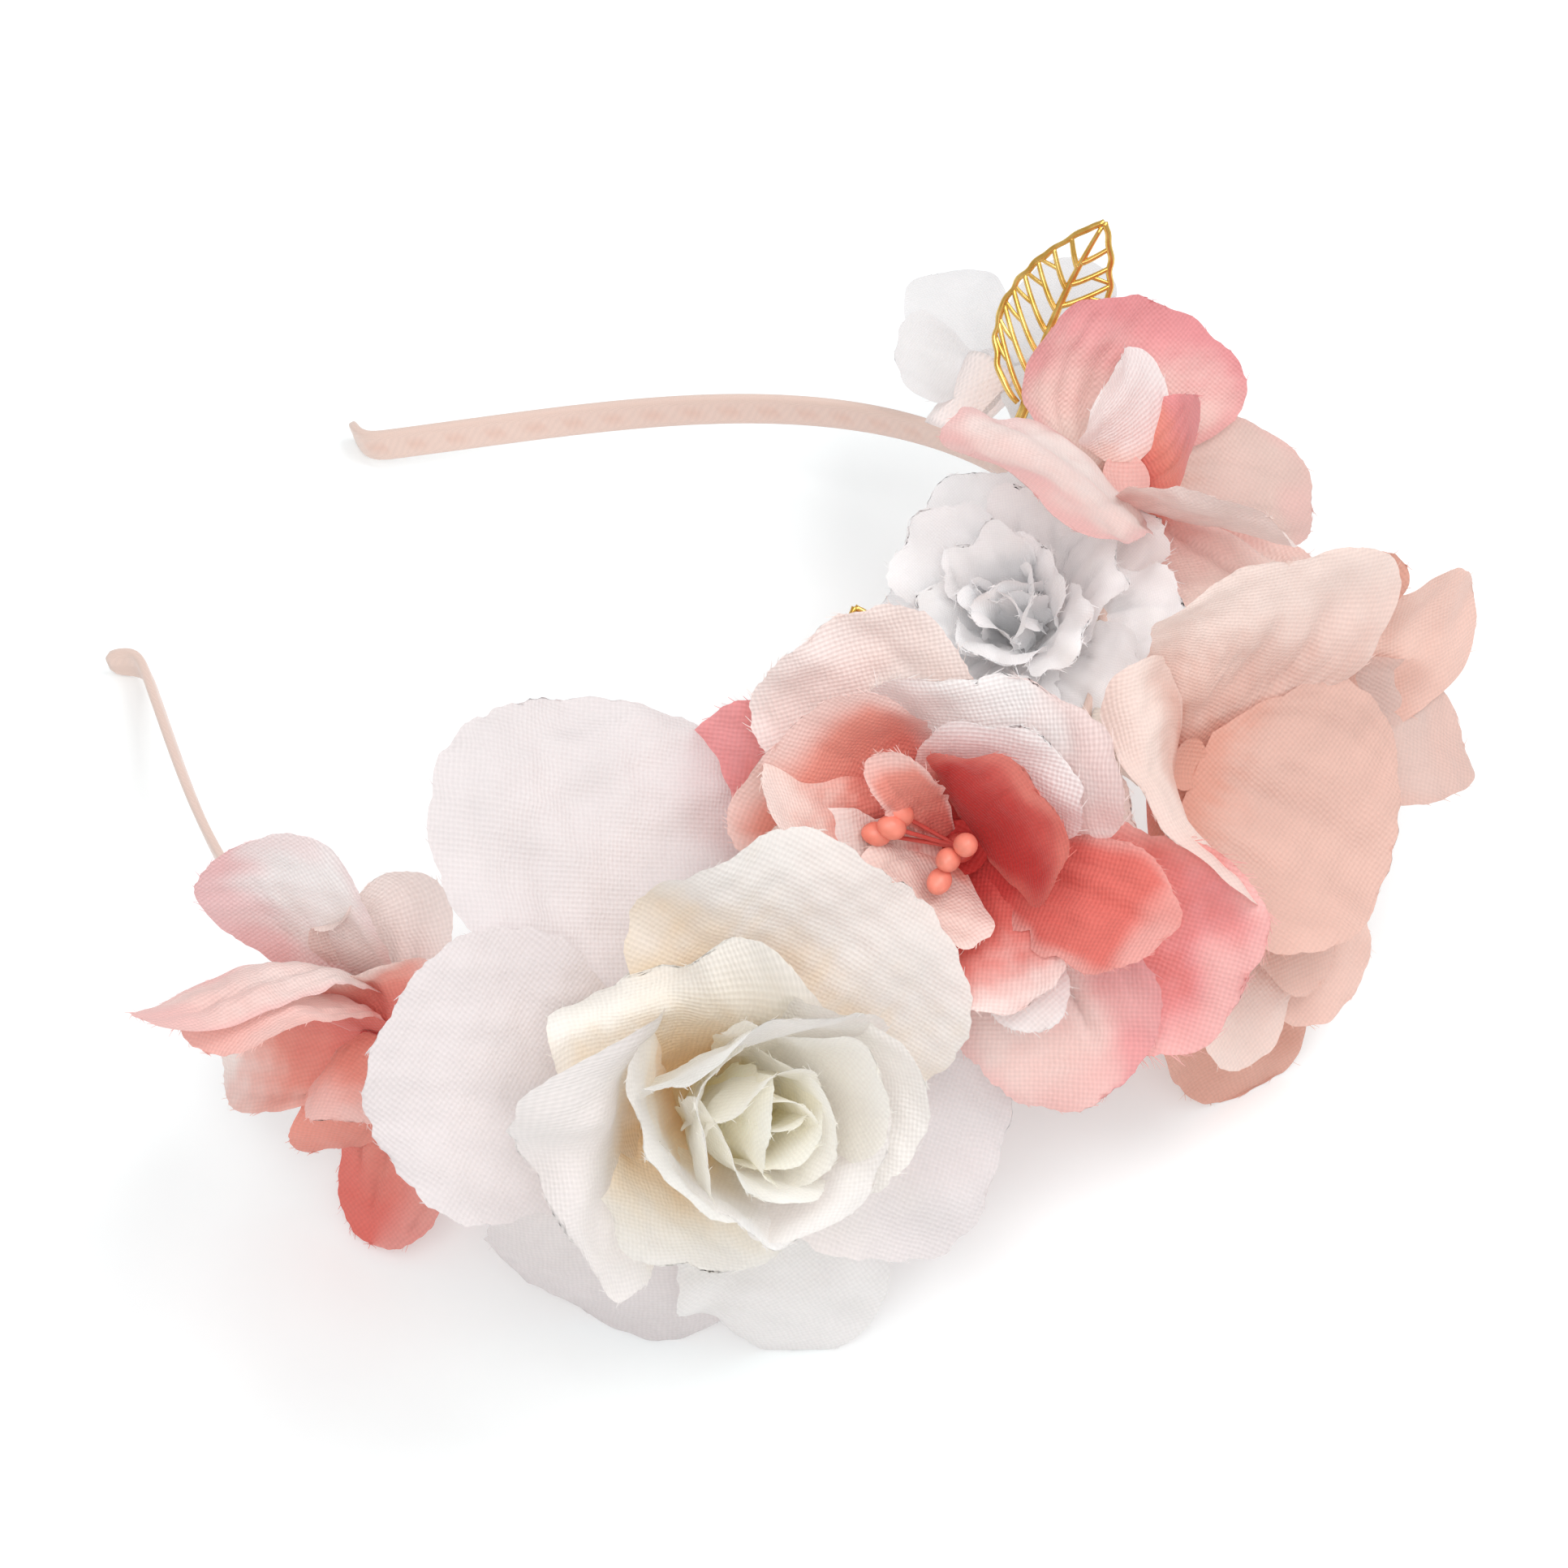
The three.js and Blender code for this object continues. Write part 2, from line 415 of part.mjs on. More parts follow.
// middle surface of a petal as rows of points, with the normal at each
function petalSurface(flower, p, height, rows, columns, margin) {
  const { origin, axis, x, y } = flower;
  const az = rad(p.az);
  const er = x.clone().multiplyScalar(Math.cos(az)).addScaledVector(y, Math.sin(az));
  const et = axis.clone().cross(er);
  const N = 48, ds = p.len / N, path = [];
  const at = origin.clone().addScaledVector(axis, height).addScaledVector(er, p.start);
  let last = null;
  for (let i = 0; i <= N; i++) {
    const s = i / N;
    const th = rad(p.open + p.bend * s + p.curl * smooth((s - CURL_FROM) / (1 - CURL_FROM)));
    const ph = rad(p.skew * s), ro = rad(p.roll * s);
    const d = axis.clone().multiplyScalar(Math.cos(th)).addScaledVector(er, Math.sin(th));
    const dir = d.clone().multiplyScalar(Math.cos(ph)).addScaledVector(et, Math.sin(ph));
    const lat = et.clone().multiplyScalar(Math.cos(ph)).addScaledVector(d, -Math.sin(ph));
    const nor = dir.clone().cross(lat);
    const lat2 = lat.clone().multiplyScalar(Math.cos(ro)).addScaledVector(nor, Math.sin(ro));
    if (last) at.addScaledVector(last.clone().add(dir), ds / 2);
    last = dir;
    path.push({ c: at.clone(), dir, lat: lat2, nor: dir.clone().cross(lat2) });
  }
  const grid = [];
  for (let i = 0; i <= rows; i++) {
    const s = 0.985 * (1 - (1 - i / rows) ** 1.5);
    const f = s * N, k = Math.min(N - 1, Math.floor(f)), u = f - k;
    const c = mix(path[k].c, path[k + 1].c, u), lat = mix(path[k].lat, path[k + 1].lat, u).normalize();
    const nor = mix(path[k].nor, path[k + 1].nor, u).normalize(), dir = mix(path[k].dir, path[k + 1].dir, u).normalize();
    if (i === 0) c.addScaledVector(dir, -margin);
    if (i === rows) c.addScaledVector(dir, margin);
    const full = p.wid / 2, w = full * widthShare(s, p.peak, p.blunt);
    const cup = rad(p.cup) * w / full;
    const line = [];
    for (let j = 0; j <= columns; j++) {
      const t = -1 + 2 * j / columns, a = Math.abs(t), ww = w * (t > 0 ? p.lop : 1) + margin;
      const ang = cup * a;
      const across = Math.abs(cup) < 1e-4 ? a * ww : ww * Math.sin(ang) / cup;
      const lift = Math.abs(cup) < 1e-4 ? 0 : ww * (1 - Math.cos(ang)) / cup;
      const pt = c.clone().addScaledVector(lat, across * Math.sign(t)).addScaledVector(nor, lift);
      const nn = nor.clone().multiplyScalar(Math.cos(ang)).addScaledVector(lat, -Math.sin(ang) * Math.sign(t));
      line.push({ pt, nn });
    }
    grid.push(line);
  }
  return grid;
}

// closed wall from a petal's middle surface, laid flat where it meets the floor
function petalSolid(flower, p, layer, margin = 0) {
  const rows = Math.abs(p.bend) + Math.abs(p.curl) > 90 ? 6 : p.len > 30 ? 4 : 3, columns = p.wid > 29 ? 4 : 2;
  const h = PETAL_THICKNESS / 2 + margin;
  const grid = petalSurface(flower, p, layer.height, rows, columns, margin);
  const pts = [], tri = [];
  const floor = -margin;
  for (const side of [1, -1]) for (const line of grid) for (const { pt, nn } of line) {
    const m = pt.clone();
    m.z = Math.max(m.z, PETAL_THICKNESS / 2);
    m.addScaledVector(nn, side * h);
    m.z = Math.max(m.z, floor);
    pts.push(m);
  }
  const nc = columns + 1, half = (rows + 1) * nc;
  const top = (i, j) => i * nc + j, bot = (i, j) => half + i * nc + j;
  for (let i = 0; i < rows; i++) for (let j = 0; j < columns; j++) {
    tri.push(top(i, j), top(i + 1, j), top(i + 1, j + 1), top(i, j), top(i + 1, j + 1), top(i, j + 1));
    tri.push(bot(i, j), bot(i + 1, j + 1), bot(i + 1, j), bot(i, j), bot(i, j + 1), bot(i + 1, j + 1));
  }
  const ring = [];
  for (let i = 0; i < rows; i++) ring.push([i, 0]);
  for (let j = 0; j < columns; j++) ring.push([rows, j]);
  for (let i = rows; i > 0; i--) ring.push([i, columns]);
  for (let j = columns; j > 0; j--) ring.push([0, j]);
  ring.forEach((a, k) => {
    const b = ring[(k + 1) % ring.length];
    tri.push(top(...b), top(...a), bot(...a), top(...b), bot(...a), bot(...b));
  });
  return solid(fromLists(pts, orient(pts, tri)));
}

// round peg from point a to point b
function peg(a, b, ra, rb, sides) {
  const d = b.clone().sub(a), len = d.length();
  const g = new THREE.CylinderGeometry(rb, ra, len, sides);
  g.applyQuaternion(new THREE.Quaternion().setFromUnitVectors(V(0, 1, 0), d.normalize()));
  g.translate(...a.clone().add(b).multiplyScalar(0.5).toArray());
  return solid(g);
}

const onAxis = (f, h) => f.origin.clone().addScaledVector(f.axis, h);

function layerSolid(layer, margin = 0) {
  const f = FLOWERS[layer.flower];
  let all = peg(onAxis(f, layer.height - HUB_DEPTH - margin), onAxis(f, layer.top + margin),
    layer.hub + margin, layer.hub * 0.9 + margin, BASE_SIDES);
  for (const p of layer.petals) {
    all = all.add(petalSolid(f, p, layer, margin));
    if (p.start > layer.hub * 0.8) {   // a petal set out from the hub hangs on a narrow claw
      const er = f.x.clone().multiplyScalar(Math.cos(rad(p.az))).addScaledVector(f.y, Math.sin(rad(p.az)));
      const root = onAxis(f, layer.height).addScaledVector(er, p.start + 1);
      all = all.add(peg(onAxis(f, layer.height), root, CLAW / 2 + margin, CLAW / 2 + margin, 6));
    }
  }
  return all;
}

function baseSolid(f, layer, margin = 0) {
  const foot = bandFrame(f.s + f.along).c;
  const top = onAxis(f, layer.height - HUB_DEPTH - GAP);
  const dir = top.clone().sub(foot).normalize();
  return peg(foot.addScaledVector(dir, -margin), top.addScaledVector(dir, margin), BASE_FOOT + margin, BASE_TOP + margin, BASE_SIDES);
}

const LAYERS = LAYER_TABLE.map((row) => {
  const layer = named(LAYER_COLUMNS, row);
  layer.petals = PETAL_TABLE.map((r) => named(PETAL_COLUMNS, r))
    .filter((p) => p.flower === layer.flower && p.layer === layer.layer);
  return layer;
});
for (const row of RUFFLE_TABLE) {
  const r = named(RUFFLE_COLUMNS, row);
  const layer = LAYERS.find((l) => l.flower === 'ruffle' && l.layer === r.layer);
  for (let i = 0; i < r.count; i++) {
    const odd = i % 2;
    layer.petals.push({
      az: (r.first + i * 360 / r.count) % 360, open: r.open + (odd ? 7 : -5), bend: odd ? 0 : -6, curl: 14,
      cup: 24, roll: odd ? 12 : -10, skew: 0, len: r.len + (i % 3 === 0 ? 1.2 : -0.6), wid: r.wid, peak: 0.62, blunt: 2.8, lop: 1, start: 2.2,
    });
  }
}

// ---------------------------------------------------------------- leaves
function leafHalf(y) { return LEAF_WIDTH / 2 * Math.sin(Math.PI * Math.min(1, Math.max(0, y)) ** 0.75) ** 0.75; }
function leafShape() {
  const shape = new THREE.Shape();
  const n = 9, L = LEAF_LENGTH;
  shape.moveTo(0.7, -LEAF_STALK);
  shape.lineTo(0.7, 0);
  for (let i = 1; i < n; i++) shape.lineTo(Math.max(0.7, leafHalf(i / n)), L * i / n);
  shape.lineTo(0, L);
  for (let i = n - 1; i > 0; i--) shape.lineTo(-Math.max(0.7, leafHalf(i / n)), L * i / n);
  shape.lineTo(-0.7, 0);
  shape.lineTo(-0.7, -LEAF_STALK);
  const veins = 4, rib = 0.6, rim = 0.9, vein = 0.4;
  for (const side of [1, -1]) for (let k = 0; k < veins; k++) {
    const y0 = 0.1 + k * 0.185, y1 = y0 + 0.185;
    const swept = (y, u) => y + 0.24 * (1 - y) * u;
    const pts = [];
    const edge = (y) => Math.max(0, leafHalf(Math.min(0.97, y)) - rim);
    for (let i = 0; i <= 1; i++) {
      const u = i, x = rib + (edge(swept(y0, 1)) - rib) * u;
      pts.push([x, swept(y0, u) * L + vein]);
    }
    for (let i = 1; i >= 0; i--) {
      const u = i, x = rib + (edge(swept(y1, 1)) - rib) * u;
      pts.push([x, swept(y1, u) * L - vein]);
    }
    const hole = new THREE.Path();
    pts.forEach(([x, y], i) => (i ? hole.lineTo(side * x, y) : hole.moveTo(side * x, y)));
    hole.closePath();
    shape.holes.push(hole);
  }
  return shape;
}
function leafFrame(row) {
  const f = named(LEAF_COLUMNS, row);
  const { c, t, o } = bandFrame(f.s);
  const at = c.clone().addScaledVector(o, f.out).addScaledVector(UP, f.rise).addScaledVector(t, f.along);
  const h = rad(f.heading), k = rad(f.climb);
  const along = V(Math.cos(k) * Math.cos(h), Math.cos(k) * Math.sin(h), Math.sin(k));
  const flat = V(0, 0, 1).cross(along).normalize();
  const side = flat.clone().applyAxisAngle(along, rad(f.turn));
  return new THREE.Matrix4().makeBasis(side, along, side.clone().cross(along)).setPosition(at);
}
function leafSolid(row, margin = 0) {
  const m = leafFrame(row);
  const bow = (y) => 2.2 * (y / LEAF_LENGTH) ** 2;
  let g;
  if (margin === 0) {
    g = new THREE.ExtrudeGeometry(leafShape(), { depth: LEAF_THICKNESS, bevelEnabled: false, curveSegments: 1 });
    g.translate(0, 0, -LEAF_THICKNESS / 2);
  } else {
    const s = new THREE.Shape();
    const n = 8;
    s.moveTo(0.7 + margin, -LEAF_STALK - margin);
    for (let i = 0; i <= n; i++) s.lineTo(leafHalf(i / n) + margin + 0.7, LEAF_LENGTH * i / n);
    s.lineTo(0, LEAF_LENGTH + margin * 2);
    for (let i = n; i >= 0; i--) s.lineTo(-leafHalf(i / n) - margin - 0.7, LEAF_LENGTH * i / n);
    s.lineTo(-0.7 - margin, -LEAF_STALK - margin);
    g = new THREE.ExtrudeGeometry(s, { depth: LEAF_THICKNESS + 2 * margin, bevelEnabled: false, curveSegments: 1 });
    g.translate(0, 0, -LEAF_THICKNESS / 2 - margin);
  }
  const p = g.attributes.position;
  for (let i = 0; i < p.count; i++) p.setZ(i, p.getZ(i) + bow(p.getY(i)) - 0.03 * p.getX(i) ** 2);
  g.applyMatrix4(m);
  return solid(g);
}

// ---------------------------------------------------------------- stamens
function stamenSolid(margin = 0) {
  const f = FLOWERS.coral;
  const foot = 7.3;
  let all = peg(onAxis(f, foot - margin), onAxis(f, foot + 1.4 + margin), 2 + margin, 1.8 + margin, 8);
  for (const row of STAMEN_TABLE) {
    const s = named(STAMEN_COLUMNS, row);
    const az = rad(s.az), op = rad(s.open);
    const er = f.x.clone().multiplyScalar(Math.cos(az)).addScaledVector(f.y, Math.sin(az));
    const dir = f.axis.clone().multiplyScalar(Math.cos(op)).addScaledVector(er, Math.sin(op));
    const a = onAxis(f, foot + 0.7), b = a.clone().addScaledVector(dir, s.len);
    all = all.add(peg(a, b, FILAMENT + margin, FILAMENT + margin, 4));
    const bead = new THREE.IcosahedronGeometry(1, 0);
    bead.scale(BEAD_WIDTH / 2 + margin, BEAD_LENGTH / 2 + margin, BEAD_WIDTH / 2 + margin);
    bead.applyQuaternion(new THREE.Quaternion().setFromUnitVectors(V(0, 1, 0), dir));
    bead.translate(...b.toArray());
    all = all.add(solid(bead));
  }
  return all;
}

// ---------------------------------------------------------------- assembly
const look = (color, roughness, metalness = 0) => new THREE.MeshStandardMaterial({ color, roughness, metalness, side: THREE.FrontSide });
const headband = new THREE.Group();
const kept = [];   // grown copies of the pieces already placed

function place(name, exact, grown, material) {
  let body = exact;
  const box = exact.boundingBox();
  for (const k of kept) {
    const meets = [0, 1, 2].every((i) => box.min[i] < k.box.max[i] && k.box.min[i] < box.max[i]);
    if (meets) body = body.subtract(k.grown);
  }
  const geometry = kept.length ? largestBody(body) : bandGeometry();   // the strip comes first and stays whole
  geometry.computeVertexNormals();
  const mesh = new THREE.Mesh(geometry, material);
  mesh.name = name;
  headband.add(mesh);
  kept.push({ grown, box: grown.boundingBox() });
}

place('band', solid(bandGeometry()), solid(bandGeometry(GAP)), look(0xecd6cc, 0.75));
for (const f of Object.values(FLOWERS)) {
  const first = LAYERS.find((l) => l.flower === f.name && l.layer === 1);
  place(`${f.name}_base`, baseSolid(f, first), baseSolid(f, first, GAP), look(0xf1e3da, 0.85));
}
place('coral_stamens', stamenSolid(), stamenSolid(GAP), look(0xe98272, 0.5));
for (const row of LEAF_TABLE) place(row[0], leafSolid(row), leafSolid(row, GAP), look(0xd9a441, 0.3, 1));
for (const depth of [4, 3, 2, 1]) for (const layer of LAYERS) {
  if (layer.layer !== depth) continue;
  place(layer.node, layerSolid(layer), layerSolid(layer, GAP), look(layer.color, 0.8));
}

headband.position.set(-MIDDLE_X, -MIDDLE_Y, 0);

export default headband;
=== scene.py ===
import math
import bpy
import numpy as np
from mathutils import Matrix, Vector


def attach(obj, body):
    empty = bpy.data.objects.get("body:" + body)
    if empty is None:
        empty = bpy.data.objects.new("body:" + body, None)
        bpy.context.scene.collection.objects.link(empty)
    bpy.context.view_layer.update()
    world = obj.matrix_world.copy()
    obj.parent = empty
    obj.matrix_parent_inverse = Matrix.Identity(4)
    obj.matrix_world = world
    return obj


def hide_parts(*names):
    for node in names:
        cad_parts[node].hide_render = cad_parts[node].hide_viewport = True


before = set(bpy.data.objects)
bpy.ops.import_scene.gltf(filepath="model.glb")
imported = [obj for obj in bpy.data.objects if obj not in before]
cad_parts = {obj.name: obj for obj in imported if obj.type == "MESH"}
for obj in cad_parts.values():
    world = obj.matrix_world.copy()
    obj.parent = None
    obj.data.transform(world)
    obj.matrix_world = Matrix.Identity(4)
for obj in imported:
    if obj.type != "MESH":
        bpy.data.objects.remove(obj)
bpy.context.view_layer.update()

MM = 0.001
rad = np.radians

# ------------------------------------------------------------------ sizes, millimetres
BAND_LENGTH = 363.8
BAND_WIDTH = 4.8
BAND_THICKNESS = 1.3
CROWN_CURVATURE = 0.01768
ARM_CURVATURE = -0.0047
CROWN_REACH = 147.7
CROWN_EASE = 4.26
TIP_FLARE = 0.27
TIP_FLARE_LENGTH = 2.2
TIP_PAD = 4.6
CROWN_TILT = 20.458
CROWN_HEIGHT = 51.28
MIDDLE = np.array([-2.153, 48.335, 0.0])
LEAF_LENGTH = 27.0
LEAF_WIDTH = 14.0
LEAF_STALK = 8.0

# camera, from the vanishing lines of the strip
VIEW_AZIMUTH = -51.3
VIEW_ELEVATION = 55.4
VIEW_TARGET = np.array([-10.5, 27.5, 51.28])
VIEW_DISTANCE = 900.0
VIEW_LENS = 8891.0 / 1932.0 * 36.0

FLOWER_COLUMNS = ("name", "s", "along", "out", "rise", "swing", "lift")
FLOWER_TABLE = (
    ("rose", 42, 7.9, 12.6, 0.2, -29.4, 25.1),
    ("pink", 86, -0.5, 3.1, 0.4, 1.4, 10.4),
    ("coral", 4, 3.7, 1.1, 6.6, 34.6, 42.4),
    ("ruffle", -42, 0.7, -9.5, -1.4, 99.7, 65),
    ("peach", -24, 3.4, 8.2, -4.2, 23.1, 3.9),
    ("blush", -62, -0.8, 7.2, 1.8, 57.7, 41.6),
    ("white", -88, -2.8, 11.1, 3.2, 126.8, 70),
)
LAYER_COLUMNS = ("flower", "layer", "node", "height", "hub")
LAYER_TABLE = (
    ("rose", 1, "rose_outer_petals", 0, 5.5),
    ("rose", 2, "rose_middle_petals", 3.5, 5.5),
    ("rose", 3, "rose_inner_petals", 7, 5),
    ("rose", 4, "rose_heart", 10, 4.2),
    ("pink", 1, "pink_outer_petals", 0, 4),
    ("pink", 2, "pink_middle_petals", 2, 3.6),
    ("pink", 3, "pink_inner_petals", 4, 3.2),
    ("coral", 1, "coral_outer_petals", 0.5, 5),
    ("coral", 2, "coral_middle_petals", 3.5, 4.6),
    ("coral", 3, "coral_inner_petals", 6, 4),
    ("peach", 1, "peach_outer_petals", 0, 4.6),
    ("peach", 2, "peach_middle_petals", 2.5, 4.4),
    ("peach", 3, "peach_inner_petals", 5, 4),
    ("blush", 1, "blush_outer_petals", 0.5, 4.4),
    ("blush", 2, "blush_inner_petals", 3.5, 4),
    ("white", 1, "white_petals", 0, 3.6),
    ("ruffle", 1, "ruffle_outer_petals", 0, 4.4),
    ("ruffle", 2, "ruffle_middle_petals", 2, 4),
    ("ruffle", 3, "ruffle_inner_petals", 4, 3.6),
)
PETAL_COLUMNS = ("flower", "layer", "name", "az", "open", "bend", "curl", "cup", "roll", "skew", "len", "wid", "peak", "blunt", "lop", "start")
PETAL_TABLE = (
    ("rose", 1, "R1", 347, 97, 4, 24, 11, 13, -14, 48.4, 44, 0.66, 2.39, 1, 2.5),
    ("rose", 1, "R2", 50, 83, 1, 15, 18, 3, -6, 38.9, 35.7, 0.57, 2.16, 1, 2.5),
    ("rose", 1, "R3", 145, 128, 15, 26, -9, 23, 9, 47.1, 34.5, 0.58, 2.57, 1, 2.5),
    ("rose", 1, "R4", 188, 105, 23, 15, 1, 44, -9, 49.6, 26, 0.61, 2.04, 1, 2.5),
    ("rose", 1, "R5", 233, 84, -3, 7, 14, 5, 5, 40.2, 40.9, 0.63, 2.16, 1, 2.5),
    ("rose", 2, "R6", 299, 55, -2, 26, 17, 6, -9, 36.8, 47.3, 0.55, 1.9, 1, 3),
    ("rose", 2, "R7", 64.9, 50, -7.3, 85, 40.9, -25, 13.2, 29.4, 37.3, 0.63, 2.27, 1, 3),
    ("rose", 2, "R8", 357.7, 36, 11.5, 62.8, 31.5, -42, -21.9, 22.5, 36.1, 0.65, 2.39, 1, 3),
    ("rose", 2, "R9", 128, 48, -12, 7, 38, 18, -3, 24.3, 26.8, 0.59, 2.08, 1, 3),
    ("rose", 2, "R12", 253, 30, -13, 7, 41, 0, 0, 34.1, 26.3, 0.62, 2.29, 1, 3),
    ("rose", 3, "R10", 79, 33, -14, 26, 47, 17, -14, 26, 27.4, 0.62, 2.28, 1, 3),
    ("rose", 3, "R11", 335, 26, -21, 18, 30, 4, -2, 32.4, 30.4, 0.63, 2.38, 1, 3),
    ("rose", 3, "R15", 205, 24, -12, 8, 48, 0, 0, 29, 26, 0.62, 2.3, 1, 3),
    ("rose", 3, "R16", 270, 22, -12, 8, 50, 0, 0, 30, 24, 0.62, 2.3, 1, 3),
    ("rose", 3, "R24", 140, 27, -13, 16, 50, 0, 0, 26, 26, 0.62, 2.3, 1, 3),
    ("rose", 4, "R17", 120, 17, -14, 12, 62, 0, 0, 25, 22, 0.62, 2.3, 1, 3),
    ("rose", 4, "R18", 350, 14, -16, 10, 62, 0, 0, 25, 22, 0.62, 2.3, 1, 3),
    ("rose", 4, "R19", 245, 12, -16, 8, 60, 0, 0, 25, 20, 0.62, 2.3, 1, 3),
    ("rose", 4, "R20", 60, 9, -14, 0, 75, 0, 0, 25.5, 16, 0.62, 2.3, 1, 3),
    ("rose", 4, "R21", 205, 5, -10, 4, 70, 0, 0, 24.5, 15, 0.62, 2.3, 1, 3),
    ("rose", 4, "R22", 300, 4, -10, 2, 75, 0, 0, 24, 13, 0.62, 2.3, 1, 3),
    ("rose", 4, "R23", 155, -3, -8, 0, 75, 0, 0, 24, 12, 0.62, 2.3, 1, 3),
    ("rose", 4, "R25", 42, 23.5, -12, 12, 52, 0, 0, 25, 22, 0.62, 2.3, 1, 3),
    ("pink", 1, "La", 21, 73, 2, -6, 17, 22, -13, 32.4, 22.8, 0.67, 2.43, 1, 2.2),
    ("pink", 1, "Lb", 358, 83, 20, -46, 17, 62, -14, 22.5, 18.1, 0.68, 2.44, 1, 2.2),
    ("pink", 1, "Lc", 354, 73, -96, 43, 31, 12, 11, 47.7, 11.8, 0.7, 2.54, 1, 2.2),
    ("pink", 1, "Li", 165.7, 93, -21.7, -19.3, 13.1, -8.9, 2.2, 32.8, 16.2, 0.59, 2.15, 1, 2.2),
    ("pink", 2, "Ld", 1.1, 54.4, -37.7, -40, 11, -0.4, -7.7, 37.5, 16.7, 0.63, 2.38, 1, 2.2),
    ("pink", 2, "Le", 105.5, 69, 14.3, 34.7, 28.4, 24.3, -4.7, 27.2, 16.1, 0.63, 2.4, 1, 2.2),
    ("pink", 2, "Lh", 149.2, 79, 1.6, 16.9, 0.4, -45.6, -11.7, 25.1, 10.6, 0.6, 2.04, 1, 2.2),
    ("pink", 3, "Lf", 18.3, 65.2, -22.2, 8.8, -21.7, 23.5, -41.7, 16.3, 28.8, 0.63, 2.4, 1, 2.2),
    ("pink", 3, "Lg", 350.4, -11.1, -6.3, 24.2, 65, -8.1, -35, 14.3, 11.2, 0.6, 2.24, 1, 2.2),
    ("coral", 1, "C1", 11, 72, -13, -3, 15, -12, 10, 32.8, 27.2, 0.62, 2.33, 1, 2.2),
    ("coral", 1, "C2", 311, 50, -5, 21, 22, -3, 19, 24.2, 35.2, 0.61, 2.16, 1, 2.2),
    ("coral", 1, "C3", 42, 56, -20, 12, 26, -25, 0, 31, 27, 0.73, 2.57, 1, 2.2),
    ("coral", 1, "C10", 193, 85, 10, 4, 12, 6, -4, 33, 25.1, 0.61, 2.17, 1, 2.2),
    ("coral", 1, "C11", 223, 98, -6, -8, 5, 8, 6, 37, 27, 0.67, 2.51, 1, 2.2),
    ("coral", 1, "C14", 128, 96, 8, 0, 12, 0, 0, 27, 24, 0.62, 2.3, 1, 2.2),
    ("coral", 1, "C15", 262, 104, 0, 0, 14, 0, 0, 20, 18, 0.62, 2.3, 1, 2.2),
    ("coral", 1, "C16", 54, 84, -2, 2, 14, -6, 0, 34, 21, 0.65, 2.5, 1, 2.2),
    ("coral", 2, "C7", 308, 42, -8, 28, 22, 12, 0, 20.5, 22, 0.61, 2.05, 1, 2.2),
    ("coral", 2, "C8", 230, 60, -8, 4, 6, -20, -6, 30, 16.5, 0.62, 2.6, 1, 2.2),
    ("coral", 2, "C9", 180, 60, -4, 0, 14, 0, 6, 21.5, 19, 0.66, 2.8, 1, 2.2),
    ("coral", 2, "C12", 186, 74, -1, -1, 12, 0, 2, 23.4, 10.9, 0.62, 2.27, 1, 2.2),
    ("coral", 2, "C3b", 64, 54, -12, 4, 28, 36, -16, 30, 16, 0.67, 2.43, 1, 2.2),
    ("coral", 3, "C4", 84, 50, -10, 4, 22, 24, -10, 28, 15, 0.67, 2.51, 1, 2.2),
    ("coral", 3, "C6", 285, 28, 2, 6, 38, 10, 0, 19, 24, 0.58, 2.09, 1, 2.2),
    ("coral", 3, "C5", 24, 37, -11, 33, 24, -22, -3, 20.6, 7.4, 0.6, 2.6, 1, 2.2),
    ("coral", 3, "C13", 126, 40, -8, -6, 16, 0, 0, 15, 18, 0.61, 2.36, 1, 2.2),
    ("peach", 1, "H4", 250, 71, 7, 7, 19, 7, 12, 49.3, 11.1, 0.64, 2.31, 1, 2.2),
    ("peach", 1, "H5", 245, 68, 5, 9, 20, -32, -21, 46, 20, 0.65, 2.46, 1, 2.2),
    ("peach", 1, "H6", 282, 66, -4, 2, 12, 9, -4, 37.8, 14.6, 0.62, 2.22, 1, 2.2),
    ("peach", 1, "H7", 186, 72, 3, 1, 14, 4, -1, 43.1, 21.5, 0.64, 2.25, 1, 2.2),
    ("peach", 1, "H10", 174, 86, 4, 7, 10, 28, -5, 52.9, 22.2, 0.63, 2.34, 1, 2.2),
    ("peach", 2, "H9", 162, 75, 4, 2, 17, 3, -2, 40.2, 18, 0.63, 2.33, 1, 2.2),
    ("peach", 2, "H8", 180, 66, 8, 4, 17, -6, 0, 35.2, 14.6, 0.62, 2.34, 1, 2.2),
    ("peach", 2, "H1", 297, 60, 0, 6, 9, 0, 44, 30.5, 38, 0.71, 2.36, 1, 2.2),
    ("peach", 3, "H3", 207, 51, 6, 4, 20, -15, 7, 28, 37, 0.55, 2.19, 1, 2.2),
    ("peach", 3, "H2", 53, 50, -2, 38, 18, 49, 17, 19.4, 36.4, 0.61, 2.31, 1, 2.2),
    ("blush", 1, "Q1", 316, 59, -4, -2, 18, 6, -14, 22.7, 34.7, 0.52, 2.06, 1, 2.2),
    ("blush", 1, "Q4", 226, 81, 11, -1, 27, -12, -14, 26, 20.2, 0.56, 2.38, 1, 2.2),
    ("blush", 1, "Q6", 162, 58, -17, -21, 2, -1, -2, 28.6, 21.7, 0.69, 2.4, 1, 2.2),
    ("blush", 1, "Q3", 239.7, 31, -14.7, 7.9, 25, -40.8, 43.4, 15.6, 14.2, 0.63, 2.3, 1, 2.2),
    ("blush", 2, "Q5", 83.5, 31.2, 30.7, 1.8, -5.8, 27.4, -20.4, 38, 40, 0.68, 3, 0.47, 2.2),
    ("blush", 2, "Q2", 317.8, 51.5, -8, -5.5, 0.3, 46.6, 29.5, 15.3, 17, 0.45, 1.8, 1, 2.2),
